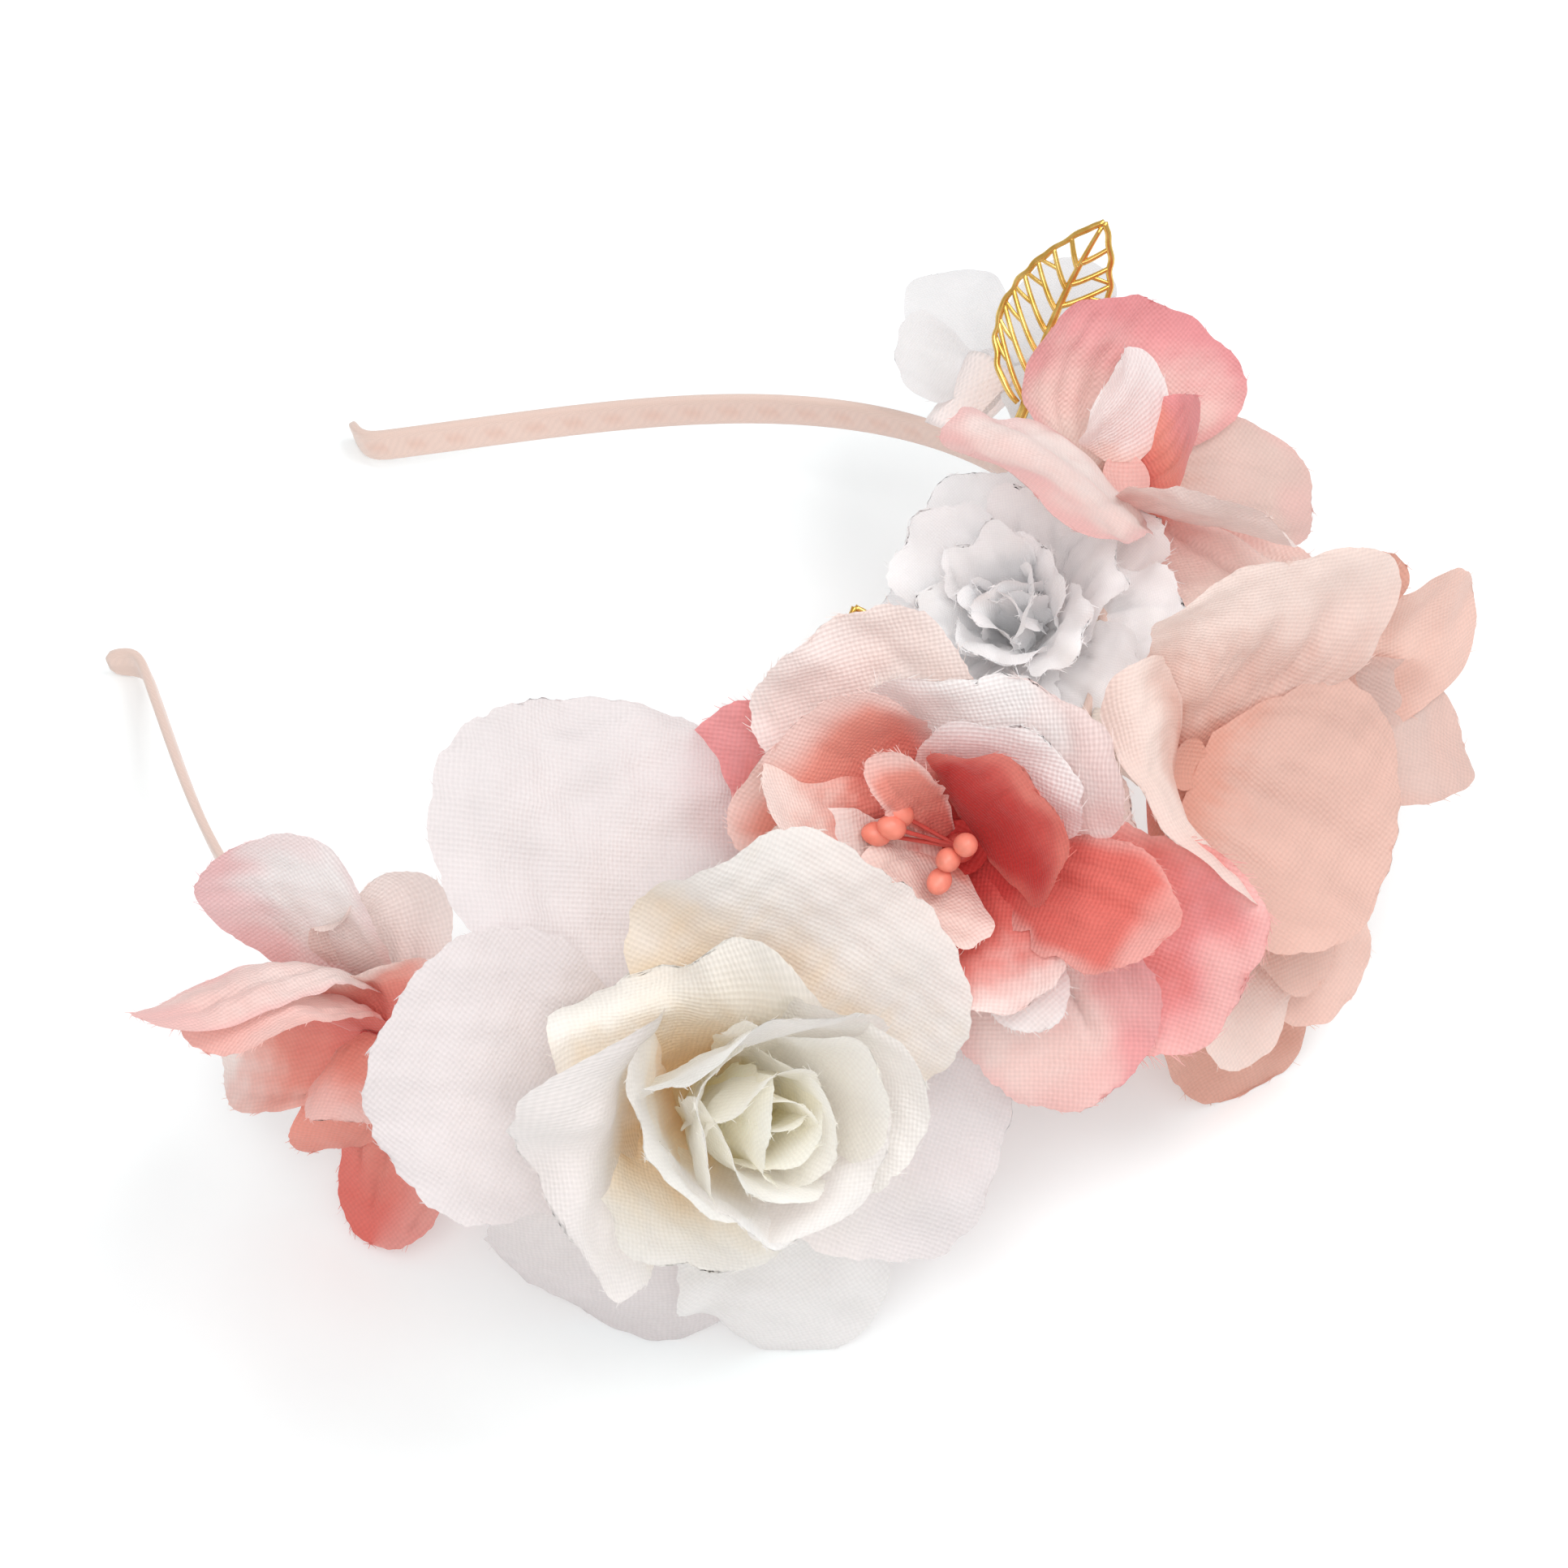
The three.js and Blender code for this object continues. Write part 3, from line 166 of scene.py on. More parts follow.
    ("blush", 2, "Q8", 139, 35, -12, -10, 25, -27, 16, 29.3, 21.6, 0.63, 2.41, 1, 2.2),
    ("white", 1, "V1", 12, 84, 8, 3, 9, 17, -5, 15.1, 14.2, 0.61, 2.25, 1, 2.2),
    ("white", 1, "V2", 76, 60, -11, -2, 14, 8, -2, 11.7, 14.6, 0.62, 2.33, 1, 2.2),
    ("white", 1, "V3", 296, 81, 10, 4, 11, -13, 0, 18.1, 13.7, 0.61, 2.25, 1, 2.2),
    ("white", 1, "V5", 222, 78, 0, 0, 14, 0, 0, 15, 14, 0.62, 2.3, 1, 2.2),
)
RUFFLE_COLUMNS = ("layer", "count", "first", "open", "len", "wid")
RUFFLE_TABLE = (
    (1, 6, 22, 76, 20.5, 18),
    (2, 6, 46, 52, 18.5, 15.5),
    (3, 5, 20, 26, 14.5, 12.5),
)
LEAF_COLUMNS = ("node", "s", "along", "out", "rise", "heading", "climb", "turn")
LEAF_TABLE = (
    ("gold_leaf_back", -76, -2.9, 5.4, 6.3, 6.9, 43.7, -160.1),
    ("gold_leaf_front", -8, 10.4, -6.4, 7.5, 68.9, 33, 165.8),
)
STAMEN_COLUMNS = ("az", "open", "len")
STAMEN_TABLE = (
    (62, 64, 11.3),
    (55, 55, 10.4),
    (42, 59, 9.7),
    (121, 19, 6.4),
    (267, 7, 7),
    (131, 41, 7.4),
)

# ------------------------------------------------------------------ colours, as sRGB
def srgb(h):
    c = np.array([int(h[i:i + 2], 16) for i in (0, 2, 4)]) / 255.0
    return np.where(c <= 0.04045, c / 12.92, ((c + 0.055) / 1.055) ** 2.4)

PALETTE = {k: srgb(v) for k, v in dict(
    # the apricot on this line is painted shade: the warm shade and bounced light deep in the rose's hollows, laid on
    # the petal roots
    snow="f2ecea", lilac="e8e1e1", milk="f3f0ec", cream="fdfbf4", butter="fffbea", lime="fff4c0", apricot_hollow_shade="fbdfb4",
    peach="edc6b9", peachlite="f6e0d7", peachdeep="e2a896", salmon="ee9d8e", coral="e5796f", deep="cb3f3c",
    # the dusky peach on this line is painted shade: a peach darkened for petals on the shaded side of the peach and
    # blush blooms
    pink="e99ea0", rosepink="de888d", blush="f2cbc4", shell="f8eae5", white="f8f5f4", sheer="fcfcfd", chalk="e8e7e8", peach_in_shade="dcc0b7", peachmid="e4beb1").items()}

# Petal colours: root, body and tip, where body starts and ends along the petal, rim colour and its share,
# then a colour on one side and its share (a negative share is the t < 0 side).
LOOK_COLUMNS = ("root", "body", "tip", "b0", "b1", "rim", "rim_share", "side", "side_share")
LOOKS = {
    "rose1": ("milk", "snow", "lilac", 0.15, 0.8, "lilac", 0.3, None, 0),
    # the warm root colour of this layer is painted shade and bounced light of the rose's hollows
    "rose2": ("apricot_hollow_shade", "cream", "snow", 0.15, 0.55, "snow", 0.4, None, 0),
    "rose3": ("butter", "cream", "cream", 0.15, 0.7, "milk", 0.3, None, 0),
    "rose4": ("lime", "cream", "cream", 0.2, 0.8, "white", 0.3, None, 0),
    "pink1": ("coral", "peachlite", "pink", 0.2, 0.75, "pink", 0.2, None, 0),
    "pink2": ("deep", "salmon", "coral", 0.2, 0.7, None, 0, None, 0),
    "pink3": ("deep", "peach", "blush", 0.2, 0.6, None, 0, None, 0),
    "coral1": ("deep", "blush", "shell", 0.2, 0.55, None, 0, None, 0),
    "coral2": ("deep", "coral", "blush", 0.2, 0.7, "shell", 0.3, None, 0),
    "coral3": ("deep", "coral", "salmon", 0.2, 0.8, None, 0, None, 0),
    "peach1": ("salmon", "peach", "peach", 0.15, 0.6, "peachlite", 0.2, None, 0),
    "peach2": ("peachdeep", "peach", "peach", 0.15, 0.6, "peachlite", 0.2, None, 0),
    "peach3": ("peachdeep", "peach", "peachlite", 0.15, 0.6, "peachlite", 0.2, None, 0),
    "blush1": ("peach", "blush", "pink", 0.2, 0.6, "rosepink", 0.3, None, 0),
    "blush2": ("blush", "blush", "shell", 0.2, 0.6, None, 0, None, 0),
    "white1": ("chalk", "chalk", "chalk", 0.2, 0.6, None, 0, None, 0),
    "ruffle1": ("sheer", "sheer", "sheer", 0.2, 0.6, None, 0, None, 0),
    "ruffle2": ("sheer", "sheer", "sheer", 0.2, 0.6, None, 0, None, 0),
    "ruffle3": ("sheer", "sheer", "sheer", 0.2, 0.6, None, 0, None, 0),
    "R1": ("snow", "lilac", "lilac", 0.15, 0.9, "lilac", 0.3, None, 0),
    "R2": ("snow", "lilac", "lilac", 0.15, 0.8, "lilac", 0.3, None, 0),
    "R3": ("snow", "snow", "lilac", 0.15, 0.8, "lilac", 0.3, None, 0),
    "R4": ("cream", "milk", "white", 0.15, 0.8, "white", 0.3, None, 0),
    "R5": ("cream", "snow", "lilac", 0.2, 0.7, "lilac", 0.3, None, 0),
    # R6 to R9: their warm roots are painted shade and bounced light of the rose's hollows
    "R6": ("apricot_hollow_shade", "milk", "milk", 0.42, 0.75, "milk", 0.4, None, 0),
    "R7": ("apricot_hollow_shade", "milk", "snow", 0.3, 0.65, "snow", 0.4, None, 0),
    "R8": ("apricot_hollow_shade", "cream", "cream", 0.45, 0.95, "milk", 0.5, None, 0),
    "R9": ("apricot_hollow_shade", "cream", "milk", 0.48, 0.95, "milk", 0.3, None, 0),
    "R12": ("butter", "cream", "milk", 0.2, 0.6, "milk", 0.3, None, 0),
    "La": ("shell", "shell", "white", 0.15, 0.7, "pink", 0.2, "pink", 0.55),
    "Lb": ("salmon", "shell", "shell", 0.1, 0.5, None, 0, "peachlite", 0.4),
    "Lc": ("coral", "shell", "blush", 0.16, 0.85, "pink", 0.35, None, 0),
    "Ld": ("coral", "blush", "blush", 0.2, 1.0, "salmon", 0.3, None, 0),
    "Le": ("coral", "salmon", "shell", 0.35, 0.95, "peachlite", 0.3, None, 0),
    "Lf": ("coral", "salmon", "peachlite", 0.4, 1.1, "shell", 0.4, None, 0),
    "Lg": ("salmon", "salmon", "blush", 0.25, 0.8, None, 0, None, 0),
    "Lh": ("coral", "salmon", "salmon", 0.15, 0.85, None, 0, None, 0),
    "Li": ("coral", "salmon", "coral", 0.2, 0.9, "coral", 0.4, "blush", 0.35),
    "C1": ("coral", "shell", "shell", 0.16, 0.6, "white", 0.3, "peachlite", -0.4),
    "C2": ("deep", "shell", "white", 0.16, 0.45, "white", 0.4, "blush", -0.5),
    "C3": ("deep", "salmon", "salmon", 0.42, 0.85, "shell", 0.65, None, 0),
    "C3b": ("deep", "salmon", "peachlite", 0.3, 0.75, "shell", 0.5, None, 0),
    "C4": ("coral", "peachlite", "shell", 0.1, 0.5, "shell", 0.3, None, 0),
    "C5": ("coral", "salmon", "salmon", 0.2, 0.9, "shell", 0.6, None, 0),
    "C6": ("deep", "deep", "coral", 0.3, 1.05, "salmon", 0.4, None, 0),
    "C7": ("deep", "salmon", "white", 0.26, 0.62, "white", 0.5, None, 0),
    "C8": ("deep", "coral", "coral", 0.3, 1.1, "blush", 0.5, None, 0),
    "C9": ("deep", "coral", "shell", 0.36, 1.1, "shell", 0.35, None, 0),
    "C10": ("coral", "shell", "blush", 0.14, 0.95, "pink", 0.3, "rosepink", 0.6),
    "C11": ("deep", "coral", "pink", 0.3, 0.9, "blush", 0.5, None, 0),
    "C12": ("coral", "salmon", "white", 0.25, 0.7, "white", 0.4, None, 0),
    "C13": ("salmon", "peachlite", "peachlite", 0.1, 0.8, "shell", 0.3, None, 0),
    "C14": ("deep", "coral", "salmon", 0.2, 0.8, None, 0, None, 0),
    "C15": ("deep", "blush", "shell", 0.2, 0.7, None, 0, None, 0),
    "H2": ("peachdeep", "peach", "peachlite", 0.15, 0.6, "peachlite", 0.5, None, 0),
    "H4": ("salmon", "peachdeep", "peach", 0.15, 0.8, None, 0, None, 0),
    "H6": ("salmon", "peachdeep", "peachdeep", 0.15, 0.8, None, 0, None, 0),
    "Q1": ("peachlite", "blush", "pink", 0.25, 0.8, "rosepink", 0.5, None, 0),
    "Q2": ("peachlite", "white", "white", 0.12, 0.5, None, 0, None, 0),
    "Q3": ("coral", "salmon", "pink", 0.25, 0.8, None, 0, None, 0),
    # Q4: its body and tip colour is a peach darkened as painted shade
    "Q4": ("peachdeep", "peach_in_shade", "peach_in_shade", 0.2, 0.85, "pink", 0.2, None, 0),
    "Q5": ("blush", "shell", "blush", 0.2, 0.9, "rosepink", 0.36, None, 0),
    "Q6": ("salmon", "blush", "peachlite", 0.2, 0.8, "salmon", 0.28, None, 0),
    "Q8": ("coral", "blush", "shell", 0.2, 0.7, "shell", 0.3, None, 0),
    "C16": ("deep", "coral", "pink", 0.3, 0.9, "pink", 0.3, None, 0),
    "H1": ("peachdeep", "peach", "peachlite", 0.12, 0.7, "peachlite", 0.4, None, 0),
    "H3": ("peachdeep", "peachmid", "peachmid", 0.15, 0.6, "peach", 0.2, None, 0),
    # H5: its body and tip colour is a peach darkened as painted shade
    "H5": ("peachdeep", "peach_in_shade", "peach_in_shade", 0.15, 0.7, "peachdeep", 0.2, None, 0),
    "H9": ("salmon", "peachlite", "peachlite", 0.15, 0.6, "peachlite", 0.2, None, 0),
    "H10": ("salmon", "peachdeep", "peachdeep", 0.15, 0.6, "peach", 0.2, None, 0),
    # R10: its warm root is painted shade and bounced light of the rose's hollows
    "R10": ("apricot_hollow_shade", "cream", "milk", 0.42, 0.8, "milk", 0.3, None, 0),
    "R11": ("butter", "cream", "milk", 0.2, 0.6, "milk", 0.3, None, 0),
    "R15": ("butter", "milk", "snow", 0.2, 0.6, "milk", 0.3, None, 0),
    "R16": ("butter", "cream", "cream", 0.25, 0.7, "white", 0.3, None, 0),
    "R24": ("butter", "cream", "white", 0.2, 0.6, "white", 0.4, None, 0),
    "R22": ("lime", "butter", "cream", 0.35, 1.0, "cream", 0.3, None, 0),
    "R23": ("lime", "butter", "cream", 0.35, 1.0, "cream", 0.3, None, 0),
    "R20": ("lime", "butter", "cream", 0.35, 1.0, "cream", 0.3, None, 0),
    "R21": ("lime", "butter", "cream", 0.35, 1.0, "cream", 0.3, None, 0),
}
# Cloth forming of each bloom: edge wave height, dents, edge scallops, ragged cut, pressed lines, edge roll.
FORM_COLUMNS = ("wave", "waves", "dent", "scallop", "ragged", "lines", "edge_roll")
FORMS = {
    "rose": (1.4, 5, 0.5, 0.75, 0.24, 0.05, -14),
    "pink": (0.8, 4, 0.5, 0.35, 0.2, 0.16, -6),
    "coral": (1.5, 5, 0.5, 0.6, 0.26, 0.12, -8),
    "peach": (0.9, 4, 0.5, 0.55, 0.14, 0.14, -8),
    "blush": (0.8, 5, 0.5, 0.35, 0.14, 0.16, -6),
    "white": (0.7, 3, 0.4, 0.2, 0.06, 0.04, -4),
    "ruffle": (1.8, 7, 0.6, 0.7, 0.35, 0.35, 0),

}

# ------------------------------------------------------------------ the strip's route
def smooth(x):
    x = np.clip(x, 0, 1)
    return x * x * (3 - 2 * x)

N = 1429
S_ = np.linspace(-BAND_LENGTH / 2, BAND_LENGTH / 2, N)
DS = S_[1] - S_[0]
M = N // 2
K_ = (ARM_CURVATURE + (CROWN_CURVATURE - ARM_CURVATURE) * np.exp(-(np.abs(S_) / CROWN_REACH) ** CROWN_EASE)
      - TIP_FLARE * np.exp(-((BAND_LENGTH / 2 - np.abs(S_) - TIP_PAD) / TIP_FLARE_LENGTH) ** 2))

def integral(f):
    o = np.zeros(N)
    o[1:] = np.cumsum((f[1:] + f[:-1]) / 2) * DS
    return o - o[M]

TH_ = integral(K_)
U_, V_ = integral(np.cos(TH_)), integral(-np.sin(TH_))
CT, ST = math.cos(math.radians(CROWN_TILT)), math.sin(math.radians(CROWN_TILT))
UP = np.array([0.0, ST, CT])

def band_frame(s):
    f = lambda a: np.interp(s, S_, a)
    du, dv = f(np.cos(TH_)), f(-np.sin(TH_))
    c = np.array([-f(U_), -f(V_) * CT, CROWN_HEIGHT + f(V_) * ST])
    t = np.array([-du, -dv * CT, dv * ST])
    t /= np.linalg.norm(t)
    o = np.cross(UP, t)
    return c, t, o / np.linalg.norm(o)

def flower_frame(f):
    c, t, o = band_frame(f["s"])
    origin = c + o * f["out"] + UP * f["rise"] + t * f["along"]
    sw, li = rad(f["swing"]), rad(f["lift"])
    axis = o * np.cos(li) * np.cos(sw) + t * np.cos(li) * np.sin(sw) + UP * np.sin(li)
    axis /= np.linalg.norm(axis)
    x = UP - axis * (UP @ axis)
    x /= np.linalg.norm(x)
    return origin, axis, x, np.cross(axis, x)

FLOWERS = {r[0]: dict(zip(FLOWER_COLUMNS, r)) for r in FLOWER_TABLE}
FRAMES = {n: flower_frame(f) for n, f in FLOWERS.items()}

# ------------------------------------------------------------------ meshes
def make_object(name, verts, faces, uv=None, tint=None, material=None, st=None):
    me = bpy.data.meshes.new(name)
    v = (np.asarray(verts, float) - MIDDLE) * MM
    me.from_pydata(v.tolist(), [], faces)
    me.validate(clean_customdata=False)
    me.polygons.foreach_set("use_smooth", [True] * len(me.polygons))
    loops = np.zeros(len(me.loops), int)
    me.loops.foreach_get("vertex_index", loops)
    if uv is not None:
        layer = me.uv_layers.new(name="cloth")
        layer.data.foreach_set("uv", np.asarray(uv, float)[loops].ravel())
    if tint is not None:
        a = me.color_attributes.new("tint", "FLOAT_COLOR", "POINT")
        rgba = np.ones((len(v), 4))
        rgba[:, :3] = tint
        a.data.foreach_set("color", rgba.ravel())
    me.update()
    ob = bpy.data.objects.new(name, me)
    bpy.context.scene.collection.objects.link(ob)
    if material:
        me.materials.append(material)
    return ob

def grid_faces(rows, cols, base=0, flip=False):
    idx = np.arange((rows + 1) * (cols + 1)).reshape(rows + 1, cols + 1) + base
    q = np.stack([idx[:-1, :-1], idx[1:, :-1], idx[1:, 1:], idx[:-1, 1:]], -1).reshape(-1, 4)
    return (q[:, ::-1] if flip else q).tolist()

class Builder:
    def __init__(self):
        self.v, self.f, self.uv, self.tint, self.n = [], [], [], [], 0

    def add(self, v, f, uv, tint):
        self.v.append(np.asarray(v, float))
        self.f += [[i + self.n for i in q] for q in f]
        self.uv.append(np.asarray(uv, float))
        self.tint.append(np.asarray(tint, float))
        self.n += len(v)

    def make(self, name, material):
        return make_object(name, np.concatenate(self.v), self.f, np.concatenate(self.uv), np.concatenate(self.tint), material)

def tube(points, radii, sides=8, flat=1.0, side_dir=None):
    """swept tube; flat squashes it across side_dir"""
    p = np.asarray(points, float)
    r = np.broadcast_to(np.asarray(radii, float), (len(p),))
    t = np.gradient(p, axis=0)
    t /= np.linalg.norm(t, axis=1)[:, None]
    ref = np.array(side_dir if side_dir is not None else (0.3, 0.5, 0.81), float)
    verts, faces = [], []
    for i in range(len(p)):
        a = np.cross(t[i], ref)
        a /= np.linalg.norm(a)
        b = np.cross(a, t[i])
        for k in range(sides):
            w = 2 * np.pi * k / sides
            verts.append(p[i] + r[i] * (a * np.cos(w) + b * np.sin(w) * flat))
    m = len(p)
    for i in range(m - 1):
        for k in range(sides):
            k2 = (k + 1) % sides
            faces.append([i * sides + k, i * sides + k2, (i + 1) * sides + k2, (i + 1) * sides + k])
    faces.append(list(range(sides))[::-1])
    faces.append([(m - 1) * sides + k for k in range(sides)])
    return np.array(verts), faces

# ------------------------------------------------------------------ petals
NECK = 0.28
CURL_FROM = 0.62

def width_share(s, peak, blunt):
    lo = NECK + (1 - NECK) * np.sin(np.pi / 2 * np.clip(s / peak, 0, 1))
    hi = (1 - np.clip((s - peak) / (1 - peak), 0, 1) ** blunt) ** (1 / blunt)
    return np.where(s < peak, lo, hi)

def waves(rng, count, lo, hi):
    """a smooth random function of one variable"""
    f = rng.uniform(lo, hi, count)
    p = rng.uniform(0, 6.283, count)
    a = rng.uniform(0.5, 1.0, count)
    a /= a.sum()
    return lambda x: sum(a[k] * np.sin(f[k] * x + p[k]) for k in range(count))

def noise2(rng, count, scale):
    """a smooth random function of two variables, about one feature per scale"""
    d = rng.uniform(0, 6.283, count)
    f = rng.uniform(0.5, 1.5, count) * 6.283 / scale
    p = rng.uniform(0, 6.283, count)
    return lambda x, y: sum(np.sin(f[k] * (x * np.cos(d[k]) + y * np.sin(d[k])) + p[k]) for k in range(count)) / np.sqrt(count)

def petal_grid(L, W):
    return int(np.clip(L / 0.62, 20, 78)), 2 * int(np.clip(W / 0.62, 8, 38))

def petal(fr, q, height, form, look, rng):
    O, A, X, Y = fr
    az = rad(q["az"])
    er = np.cos(az) * X + np.sin(az) * Y
    et = np.cross(A, er)
    L, W = q["len"], q["wid"] / 2
    # midrib
    n = 60
    sf = np.linspace(0, 1.08, n + 1)
    th = rad(q["open"] + q["bend"] * sf + q["curl"] * smooth((sf - CURL_FROM) / (1 - CURL_FROM)))
    if q.get("lip"):
        turn, lip_from = q["lip"]
        th = th + rad(turn) * smooth((sf - lip_from) / (1.02 - lip_from))
    ph, ro = rad(q["skew"] * sf), rad(q["roll"] * sf)
    d = np.cos(th)[:, None] * A + np.sin(th)[:, None] * er
    dd = d * np.cos(ph)[:, None] + et * np.sin(ph)[:, None]
    cc = np.zeros((n + 1, 3))
    cc[1:] = np.cumsum((dd[1:] + dd[:-1]) / 2, 0) * L * (sf[1] - sf[0])
    cc += O + A * height + er * q["start"]
    lat = et * np.cos(ph)[:, None] - d * np.sin(ph)[:, None]
    nr = np.cross(dd, lat)
    la = lat * np.cos(ro)[:, None] + nr * np.sin(ro)[:, None]
    nn = np.cross(dd, la)
    # flat outline
    ns, nt = petal_grid(L, W)
    x = np.linspace(0, 1, ns + 1)
    t = np.linspace(-1, 1, nt + 1)
    s = 1 - (1 - x) ** 1.9
    t = t * (1.22 - 0.22 * t * t)
    SS, TT = np.meshgrid(s, t, indexing="ij")
    w = W * np.maximum(width_share(SS, q["peak"], q["blunt"]), 0.03)
    w = w * np.where(TT > 0, q.get("lop", 1.0), 1.0)
    fx, fy = TT * w, SS * L
    ang = np.arctan2(fx, fy - 0.42 * L)
    edge = np.maximum(np.abs(TT), smooth((SS - 0.35) / 0.65))
    size = math.sqrt(L * W)
    sc, rg = waves(rng, 4, 4, 10), waves(rng, 6, 40, 90)
    lobes = 6.283 * 0.5 * math.sqrt(L * W) / 3.6
    lob = np.abs(np.sin(lobes * 0.5 * ang + 1.5 * waves(rng, 3, 2, 6)(ang))) - 0.64
    grow = 1.6 * form["scallop"] * sc(ang) + form["scallop"] * lob * (0.7 + 0.5 * waves(rng, 3, 2, 5)(ang)) + form["ragged"] * rg(ang)
    if q.get("pinked"):
        grow = grow + q["pinked"] * (np.abs((ang * 9 / np.pi) % 2 - 1) - 0.5) * smooth((SS - 0.6) / 0.3)
    if q.get("notch"):
        a0, depth, wide = q["notch"]
        grow = grow - depth * np.exp(-((ang - rad(a0)) / rad(wide)) ** 2)
    e8 = edge ** 6 * smooth(SS / 0.3)
    fx = fx + grow * e8 * np.sin(ang)
    fy = fy + grow * e8 * np.cos(ang)
    ss = np.clip(fy / L, 0, 1.079)
    # across the petal
    kap = rad(q["cup"]) / W
    f0 = 0.5
    fl, frr = q.get("fold_l", form["edge_roll"]), q.get("fold_r", form["edge_roll"])
    fold = np.where(TT < 0, fl, frr)
    at = np.abs(TT)
    al = kap * np.abs(fx) + rad(fold) * smooth((at - f0) / (1 - f0)) * smooth(SS / 0.45) * np.minimum(1, 1.4 * w / W)
    mid = nt // 2
    xs, ys = np.zeros_like(fx), np.zeros_like(fx)
    for sl in (slice(mid, None), slice(mid, None, -1)):
        a_, f_ = al[:, sl], np.abs(fx[:, sl])
        df = np.diff(f_, axis=1)
        cx = np.cumsum((np.cos(a_[:, 1:]) + np.cos(a_[:, :-1])) / 2 * df, 1)
        cy = np.cumsum((np.sin(a_[:, 1:]) + np.sin(a_[:, :-1])) / 2 * df, 1)
        xs[:, sl][:, 1:], ys[:, sl][:, 1:] = cx, cy
    sg = np.sign(TT)
    it = lambda arr: np.stack([np.interp(ss, sf, arr[:, k]) for k in range(3)], -1)
    C, LA, NN = it(cc), it(la), it(nn)
    # relief: edge waves, dents, pressed lines, a crease at the root
    ew = waves(rng, 4, form["waves"] * 0.5, form["waves"] * 1.5)
    big = size / 24.0
    off = form["wave"] * min(1.3, big) * 1.5 * ew(ang) * edge ** 2.5 * smooth((SS - 0.1) / 0.5)
    off += form["dent"] * min(1.0, big) * noise2(rng, 7, 15.0)(fx, fy) * smooth(SS / 0.25)
    off += form["dent"] * 0.22 * noise2(rng, 7, 5.0)(fx, fy) * smooth(SS / 0.25)
    fan = fx / (0.35 * W + 0.65 * w)
    lines = np.zeros_like(fx)
    for k in range(int(q.get("line_count", 7))):
        c0 = rng.uniform(-0.85, 0.85)
        wd = rng.uniform(0.025, 0.06)
        s0, s1 = rng.uniform(0.05, 0.3), rng.uniform(0.6, 1.0)
        lines -= np.exp(-((fan - c0) / wd) ** 2) * smooth((SS - s0) / 0.15) * smooth((s1 - SS) / 0.25) * rng.uniform(0.4, 1.0)
    off += q.get("lines", form["lines"]) * 2.2 * lines
    off -= 0.5 * np.exp(-(fan / 0.16) ** 2) * smooth(SS / 0.2) * smooth((0.7 - SS) / 0.5) * min(1.0, big)
    for (c0, wd, s0, s1, amp) in q.get("creases", ()):
        off += amp * np.exp(-((fan - c0) / wd) ** 2) * smooth((SS - s0) / 0.2) * smooth((s1 - SS) / 0.2)
    nor = NN * np.cos(al)[..., None] - LA * (np.sin(al) * sg)[..., None]
    P = C + LA * (xs * sg)[..., None] + NN * ys[..., None] + nor * off[..., None]
    P[..., 2] = np.maximum(P[..., 2], 0.25 + 0.1 * np.abs(off))
    # colour
    k = dict(zip(LOOK_COLUMNS, look))
    mot = noise2(rng, 6, 9.0)(fx, fy)
    u = SS + 0.05 * mot + 0.03 * noise2(rng, 5, 3.0)(fx, fy)
    c = PALETTE[k["root"]] + (PALETTE[k["body"]] - PALETTE[k["root"]]) * smooth(u / max(0.02, k["b0"] * 2))[..., None]
    c = c + (PALETTE[k["tip"]] - c) * smooth((u - k["b0"] - 0.1) / max(0.05, k["b1"] - k["b0"]))[..., None]
    if k["rim"]:
        c = c + (PALETTE[k["rim"]] - c) * (k["rim_share"] * smooth((edge - 0.72 + 0.06 * mot) / 0.3))[..., None]
    if k["side"]:
        c = c + (PALETTE[k["side"]] - c) * (abs(k["side_share"]) * smooth((TT * np.sign(k["side_share"]) + 0.12 * mot) / 0.8))[..., None]
    c = c * (1 + 0.02 * mot)[..., None]
    # painted shade: a darker tone in the pressed lines, where the creases fall into shade
    c = c * (1 + 0.05 * np.clip(lines, -1, 0) * min(1, q.get("lines", form["lines"]) * 8))[..., None]
    turn = rng.uniform(0.25, 1.3)
    uv = np.stack([fx * np.cos(turn) - fy * np.sin(turn), fx * np.sin(turn) + fy * np.cos(turn)], -1) * 0.01
    area = float(np.trapz(2 * W * width_share(sf[sf <= 1], q["peak"], q["blunt"]), sf[sf <= 1] * L))
    return P.reshape(-1, 3), grid_faces(ns, nt), uv.reshape(-1, 2), np.clip(c, 0, 1).reshape(-1, 3), area

